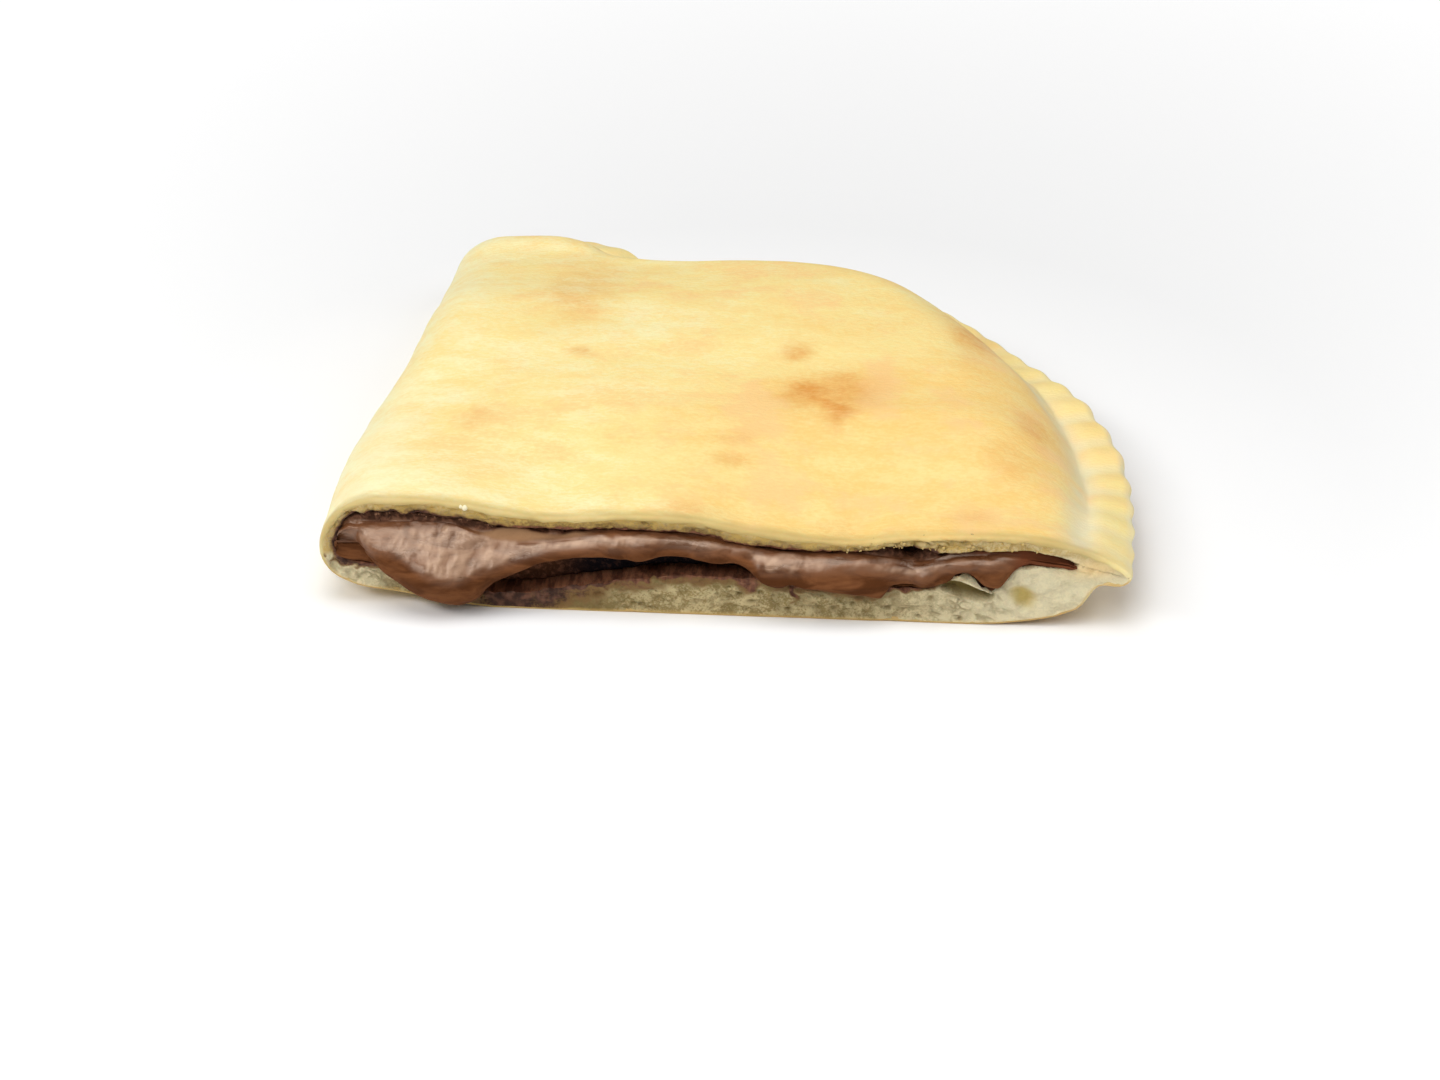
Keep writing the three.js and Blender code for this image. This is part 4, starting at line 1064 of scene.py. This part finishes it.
def smooth_path(knots, count):
    """Points on a Catmull-Rom curve through knots, for many curves at once: cubic pieces, each ending along the
    line between its neighbours. Points are shared out by the knots' mean spacing."""
    last = knots.shape[1] - 1
    gap = np.linalg.norm(np.diff(knots, axis=1), axis=2).mean(axis=0) + 0.15
    run = np.concatenate([[0], np.cumsum(gap)])
    at = np.interp(np.linspace(0, gap.sum(), count), run, np.arange(last + 1))
    i = np.minimum(at.astype(int), last - 1)
    u = (at - i)[None, :, None]
    before, here = knots[:, np.maximum(i - 1, 0)], knots[:, i]
    ahead, beyond = knots[:, i + 1], knots[:, np.minimum(i + 2, last)]
    return 0.5 * (2 * here + (ahead - before) * u + (2 * before - 5 * here + 4 * ahead - beyond) * u**2
                  + (3 * here - before - 3 * ahead + beyond) * u**3)


def chocolate_rings():
    """A section at each station along the cut: forwards along the pocket's floor, up the hollow's back wall,
    round the rope, up the smear behind it to the torn top, and back under the ceiling."""
    share = np.linspace(0, 1, STATIONS)
    eased = mix(share, 0.5 - 0.5 * np.cos(np.pi * share), 0.35)
    x = mix(POCKET_LEFT + 0.12, pocket_right - 0.5, eased)[:, None]
    clear = GAP + 0.05
    ceiling = pocket_wall(x, 0 * x, 1.0, clear)[..., 2]
    ground = pocket_wall(x, 0 * x, -1.0, clear)[..., 2]
    top = np.minimum(ceiling - 0.05, face_top(x))
    rope = np.minimum(top - 0.1, rope_top(x))
    low = np.minimum(rope_low(x), rope - 0.4)
    out = rope_out(x)
    is_open = ease(-1, 0.6, out)
    hangs = ease(-0.6, 0.8, ground - low)
    leaves = ease(-2.2, -0.3, ground - low)
    tall = rope - low
    cave = mix(HOLLOW_DEPTH, 1, np.maximum(leaves, 1 - is_open))
    cave = mix(cave, 0.8, ease(12.5, 8.5, x))
    smeared_over = ease(21, 27, x) * ease(49, 42, x)
    edge = mix(mix(1.0, 0.5, is_open), -0.15 * out, smeared_over)
    drip = ease(9, 15, x) * ease(31, 24, x)
    open_roof = bump(x - CAVE_IN_SHEET["at"], CAVE_IN_SHEET["half"])
    knots = [
        (mix(cave, 1.2, leaves), ground),
        (mix(0.9 * cave, 0.4, leaves), mix(mix(low, ground, 0.5), ground, leaves)),
        (mix(0.65 * cave, -0.35, leaves), mix(mix(low, ground, 0.1), ground, hangs)),
        (mix(0.2 * cave, -0.35, leaves), mix(low + 0.25, ground, 0.2 * hangs)),
    ]
    for (rope_down, rope_reach), (drip_down, drip_reach) in zip(ROPE_SECTION, DRIP_SECTION):
        down = mix(rope_down, drip_down, drip)
        knots.append((-mix(rope_reach, drip_reach, drip) * out, rope - down * tall))
    knots += [
        (edge, rope),
        (edge + mix(0.25, 0.7, smeared_over), mix(rope, top, 0.6)),
        (edge + mix(0.45, 1.2, smeared_over), top),
        (mix(edge + mix(0.9, 1.8, smeared_over), 3, open_roof),
         mix(mix(top, ceiling, 0.5), top + 0.2, open_roof)),
        (mix(edge + mix(1.6, 2.8, smeared_over), 6.5, open_roof),
         mix(mix(top, ceiling, 0.95), top + 0.4, open_roof)),
    ]
    reach = np.maximum(pocket_back(x) - GAP, FACE_DEPTH)
    depths = mix(FACE_DEPTH, reach, np.array(DEPTH_SHARES)[None])
    stretch = x + 0 * depths
    under = pocket_wall(stretch, depths, -1.0, clear)
    over = pocket_wall(stretch, depths, 1.0, clear)[:, ::-1]
    over[..., 2] = np.maximum(over[..., 2], under[:, ::-1, 2])
    front = np.stack([np.stack([x[:, 0], (y + 0 * x)[:, 0], z[:, 0]], -1) for y, z in knots], axis=1)
    joined = np.concatenate([under[:, -1:], front, over[:, :1]], axis=1)
    face = smooth_path(joined, SECTION_POINTS)
    return np.concatenate([under[:, :-1], face, over[:, 1:]], axis=1), top, rope


def ripple(rings, top, rope):
    """The face's relief along its normals: long soft folds, small streaks along the flow, wrinkles slanting
    down the drip, the dents, and coarse wet lumps where the top was torn off the sheet over it."""
    normal = ring_normals(rings)
    x, y, z = rings[..., 0], rings[..., 1], rings[..., 2]
    free = ease(FACE_DEPTH, 4, y)
    height = 0.14 * lumps(rings, (5, 3, 2.2), 41) + 0.09 * lumps(rings, (2.4, 1.6, 0.9), 42)
    height += 0.02 * lumps(rings, (1.2, 0.7, 0.4), 43)
    bend = 0.8 * lumps(rings, (4, 4, 3), 50)
    slanted = np.stack([0.45 * x + 0.9 * z + bend, 0.9 * x - 0.45 * z + bend, y], -1)
    wrinkled = bump((x - 21) / 9, 1) * bump((z - 10) / 5.5, 1) * ease(1, 0, y)
    broad, small = lumps(slanted, (2.8, 0.9, 2), 46), lumps(slanted, (1.2, 0.5, 1), 47)
    height += wrinkled * (0.13 * broad + 0.09 * small)
    ragged_top = top + 0.5 * lumps(rings, (1.8, 2, 2), 51) * ease(30, 22, x)
    rough = ease(-0.2, 0.35, z - ragged_top) * ease(0.3, 0.9, y)
    height += rough * (0.42 * lumps(rings, (1.6, 1.3, 1.1), 44) + 0.14 * lumps(rings, (0.7, 0.6, 0.5), 45))
    walled = ease(1.5, 3, y) * ease(11.5, 10, z)
    height += walled * (0.25 * lumps(rings, (0.9, 3, 2.4), 48) + 0.12 * lumps(rings, (0.5, 1, 1.2), 49))
    for dent_x, dent_z, half_x, half_z, high in DENTS:
        away = np.hypot((x - dent_x) / half_x, (z - dent_z) / half_z)
        height += high * bump(away, 1.0) * ease(2.5, 0.8, y)
    smear = ease(22, 28, x) * ease(48, 42, x) * ease(-0.2, 0.6, z - rope) * ease(0.2, -0.3, z - top)
    under_rope = ease(36, 45, x) * ease(93, 89, x)
    recessed = np.maximum(ease(103, 108, x) * ease(-0.1, 0.4, z - rope), ease(111, 114, x))
    seen = z + SEEN_SLANT * y
    wavy = 0.45 * lumps(rings, (1.6, 2, 1.4), 53)
    # A painted highlight: a band between two edges as seen on the cut, where the light catches the drip, strand
    # and roll.
    painted_highlight = ease(-0.7, 0.6, seen - highlight_low(x) + wavy) * ease(0.3, -0.6, seen - highlight_top(x) + wavy)
    painted_highlight = painted_highlight * ease(1.5, 0.3, y) * highlight_share(x)
    painted_highlight = painted_highlight * (0.82 + 0.45 * broad + 0.35 * small + 0.45 * lumps(rings, (2, 2, 1.2), 52))
    painted_highlight += 0.35 * painted_highlight * bump((x - 22.5) / 3.5, 1) * bump((seen - 12) / 1.8, 1)
    gloss = ease(-2.2, 0.2, seen - highlight_low(x)) * (1 - recessed) * (1 - ease(7.5, 6, x) * ease(11.4, 10.8, z))
    masks = {"painted_highlight": clamp01(painted_highlight), "torn": np.maximum(rough, 0.9 * walled), "shaded": walled * under_rope,
             "smear": smear, "dark": recessed * ease(3, 1, y), "gloss": gloss}
    return rings + normal * (height * free)[..., None], masks


chocolate_rows, chocolate_masks = ripple(*chocolate_rings())
chocolate_rows[..., 2] = np.maximum(chocolate_rows[..., 2], 0.3)
chocolate = skinned("chocolate", chocolate_rows, chocolate_masks)
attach(chocolate, "root")
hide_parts("chocolate_filling")

CHOCOLATE_DARK = (0.085, 0.028, 0.009, 1)
CHOCOLATE_MILK = (0.175, 0.066, 0.025, 1)
HIGHLIGHT_COLOUR = (0.43, 0.27, 0.175, 1)
CHOCOLATE_SHEEN = (1.0, 0.84, 0.70, 1)
SMEAR_COLOUR = (0.34, 0.19, 0.095, 1)
# Painted shade on the hollow's back wall under the rope: near black, flecked with dark brown.
SHADED_COLOUR = (0.010, 0.008, 0.010, 1)
SHADED_LIGHT = (0.048, 0.024, 0.019, 1)
RECESSED_COLOUR = (0.145, 0.045, 0.019, 1)
FLOW_STREAKS = {"scale": 420, "stretch": (0.35, 1.0, 1.2)}
WET_GRAIN_SCALE = 1300


def chocolate_finish():
    """Milk-brown spread with a soft gloss: darker and lighter streaks along the flow, purplish where torn, a
    painted highlight where the light catches it, and painted shade in the hollow under the rope.
    """
    material, tree, shader = new_material("chocolate_spread", Specular_Tint=CHOCOLATE_SHEEN)
    flow = object_place(tree, FLOW_STREAKS["stretch"])
    streaks = noise(tree, flow, FLOW_STREAKS["scale"], 4, 0.55, Distortion=0.6)
    grain = noise(tree, object_place(tree), WET_GRAIN_SCALE, 3, 0.6)
    torn = mask_of(tree, "torn")
    colour = blended(tree, spread(tree, streaks, 0.35, 0.65), CHOCOLATE_DARK, CHOCOLATE_MILK)
    wet = blended(tree, spread(tree, grain, 0.42, 0.68), SOAKED_COLOUR, SOAKED_LIGHT)
    colour = blended(tree, product(tree, mask_of(tree, "smear"), 0.8), colour, SMEAR_COLOUR)
    # Painted highlight: the base colour pales to a light beige in the band.
    painted_highlight = product(tree, mask_of(tree, "painted_highlight"), spread(tree, streaks, 0.3, 0.7, 0.6, 1.1))
    colour = blended(tree, painted_highlight, colour, HIGHLIGHT_COLOUR)
    colour = blended(tree, product(tree, torn, 0.9), colour, wet)
    colour = blended(tree, mask_of(tree, "dark"), colour, RECESSED_COLOUR)
    # Painted shade on the back wall of the hollow under the rope.
    painted_cave_shade = blended(tree, spread(tree, grain, 0.5, 0.7), SHADED_COLOUR, SHADED_LIGHT)
    colour = blended(tree, mask_of(tree, "shaded"), colour, painted_cave_shade)
    tree.links.new(colour, shader.inputs["Base Color"])
    dull = combined(tree, "MAXIMUM", torn, mask_of(tree, "smear"))
    gloss = mask_of(tree, "gloss")
    duller = combined(tree, "ADD", product(tree, dull, 0.35), spread(tree, gloss, 0.0, 1.0, 0.3, 0.0))
    rough = combined(tree, "ADD", spread(tree, streaks, 0.3, 0.7, 0.26, 0.38), duller)
    tree.links.new(rough, shader.inputs["Roughness"])
    shine = product(tree, gloss, spread(tree, dull, 0.0, 1.0, 0.75, 0.12))
    tree.links.new(combined(tree, "ADD", shine, 0.03), shader.inputs["Specular IOR Level"])
    bumped(tree, shader, combined(tree, "ADD", streaks, grain), 0.3, 0.0003)
    return material


chocolate.data.materials.append(chocolate_finish())

# ---- loose crumbs ---------------------------------------------------------------------------------------
# Crumbs that the knife tore loose along the cut: most cling to the edge of the top sheet near the rim, dark
# ones lie in the soaked lining, and the two biggest, pale ones on the lip over the drip. Dented lumps.
TORN_EDGE = {"from": 85, "to": 119, "count": 90}
LIP_CRUMBS = {"from": 88, "to": 113, "count": 9}
DARK_CRUMBS = {"from": 6, "to": 29, "count": 26}
FLAKES = [[24.2, 0.2, 18.2, 0.6], [23.6, 0.3, 18.4, 0.4]]
CRUMB_SIZES = (0.1, 0.3)
DRY_MOTTLE_SCALE = 900


def crumb_places():
    """Middles, sizes and darkness of the crumbs: on the top sheet's edge, its lip and the dark lining."""
    draw = np.random.default_rng(61)

    def along(spec):
        return draw.uniform(spec["from"], spec["to"], spec["count"])

    edge_x, lip_x, dark_x = along(TORN_EDGE), along(LIP_CRUMBS), along(DARK_CRUMBS)
    edge_z = cut_top(edge_x) - cut_sheet_top(edge_x) + draw.uniform(0.2, 1.5, len(edge_x))
    lip_y = draw.uniform(0.1, 1.0, len(lip_x))
    dark_y = draw.uniform(0.3, 1.5, len(dark_x))
    dark_z = cut_top(dark_x) - cut_sheet_top(dark_x) - draw.uniform(-0.1, 0.5, len(dark_x))
    flakes = np.array(FLAKES)
    places = np.concatenate([
        np.stack([edge_x, draw.uniform(-0.05, 0.35, len(edge_x)), edge_z], -1),
        np.stack([lip_x, lip_y, cut_top(lip_x) - 0.5 * bump(lip_y, 0.7)], -1),
        np.stack([dark_x, dark_y, dark_z], -1), flakes[:, :3]])
    sizes = np.concatenate([draw.uniform(*CRUMB_SIZES, len(places) - len(flakes)), flakes[:, 3]])
    dark = np.concatenate([0 * edge_x, 0 * lip_x, 0 * dark_x + 1, 0 * flakes[:, 0]])
    return places, sizes, dark


def loose_crumbs():
    """Small closed lumps: one subdivided icosahedron, stretched, turned and dented anew for each crumb."""
    ball = bmesh.new()
    bmesh.ops.create_icosphere(ball, subdivisions=2, radius=1.0)
    sphere = np.array([list(v.co) for v in ball.verts])
    faces = np.array([[v.index for v in f.verts] for f in ball.faces])
    ball.free()
    places, sizes, dark = crumb_places()
    draw = np.random.default_rng(62)
    turn, _ = np.linalg.qr(draw.normal(size=(len(places), 3, 3)))
    stretch = draw.uniform(0.5, 1.2, (len(places), 1, 3))
    apart = 9.3 * np.arange(len(places))[:, None, None]
    dented = sphere[None] * (1 + 0.3 * lumps(sphere[None] * 1.7 + apart, 1, 63))[..., None]
    points = np.einsum("cpi,cij->cpj", dented * stretch, turn) * sizes[:, None, None] + places[:, None]
    triangles = faces[None] + (np.arange(len(places)) * len(sphere))[:, None, None]
    mesh = bpy.data.meshes.new("loose_crumbs")
    mesh.from_pydata(to_frame(points.reshape(-1, 3)).tolist(), [], triangles.reshape(-1, 3).tolist())
    mesh.polygons.foreach_set("use_smooth", np.ones(len(mesh.polygons), bool))
    for mask, values in (("soaked", dark), ("pale", np.arange(len(places)) >= len(places) - len(FLAKES))):
        layer = mesh.attributes.new(mask, "FLOAT", "POINT")
        layer.data.foreach_set("value", np.repeat(values, len(sphere)).astype(np.float32))
    piece = bpy.data.objects.new("loose_crumbs", mesh)
    bpy.context.scene.collection.objects.link(piece)
    return piece


def flake_finish():
    """Pale dry crumb with golden specks, brown where it has lain in the spread."""
    material, tree, shader = new_material("dry_crumb", roughness_base=0.75, Specular_IOR_Level=0.25)
    mottle = mottled(tree, DRY_MOTTLE_SCALE)
    colour = blended(tree, spread(tree, mottle["Tone"], 0.4, 0.6, 0.1, 0.7), SHEET_COLOUR, CRUMB_LIGHT)
    colour = blended(tree, mask_of(tree, "pale"), colour, CRUMB_PALE)
    colour = blended(tree, product(tree, mask_of(tree, "soaked"), 0.92), colour, SOAKED_LIGHT)
    tree.links.new(colour, shader.inputs["Base Color"])
    bumped(tree, shader, mottle["Height"], 0.4, 0.0003)
    return material


crumbs = loose_crumbs()
crumbs.data.materials.append(flake_finish())
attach(crumbs, "root")
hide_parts("dough")
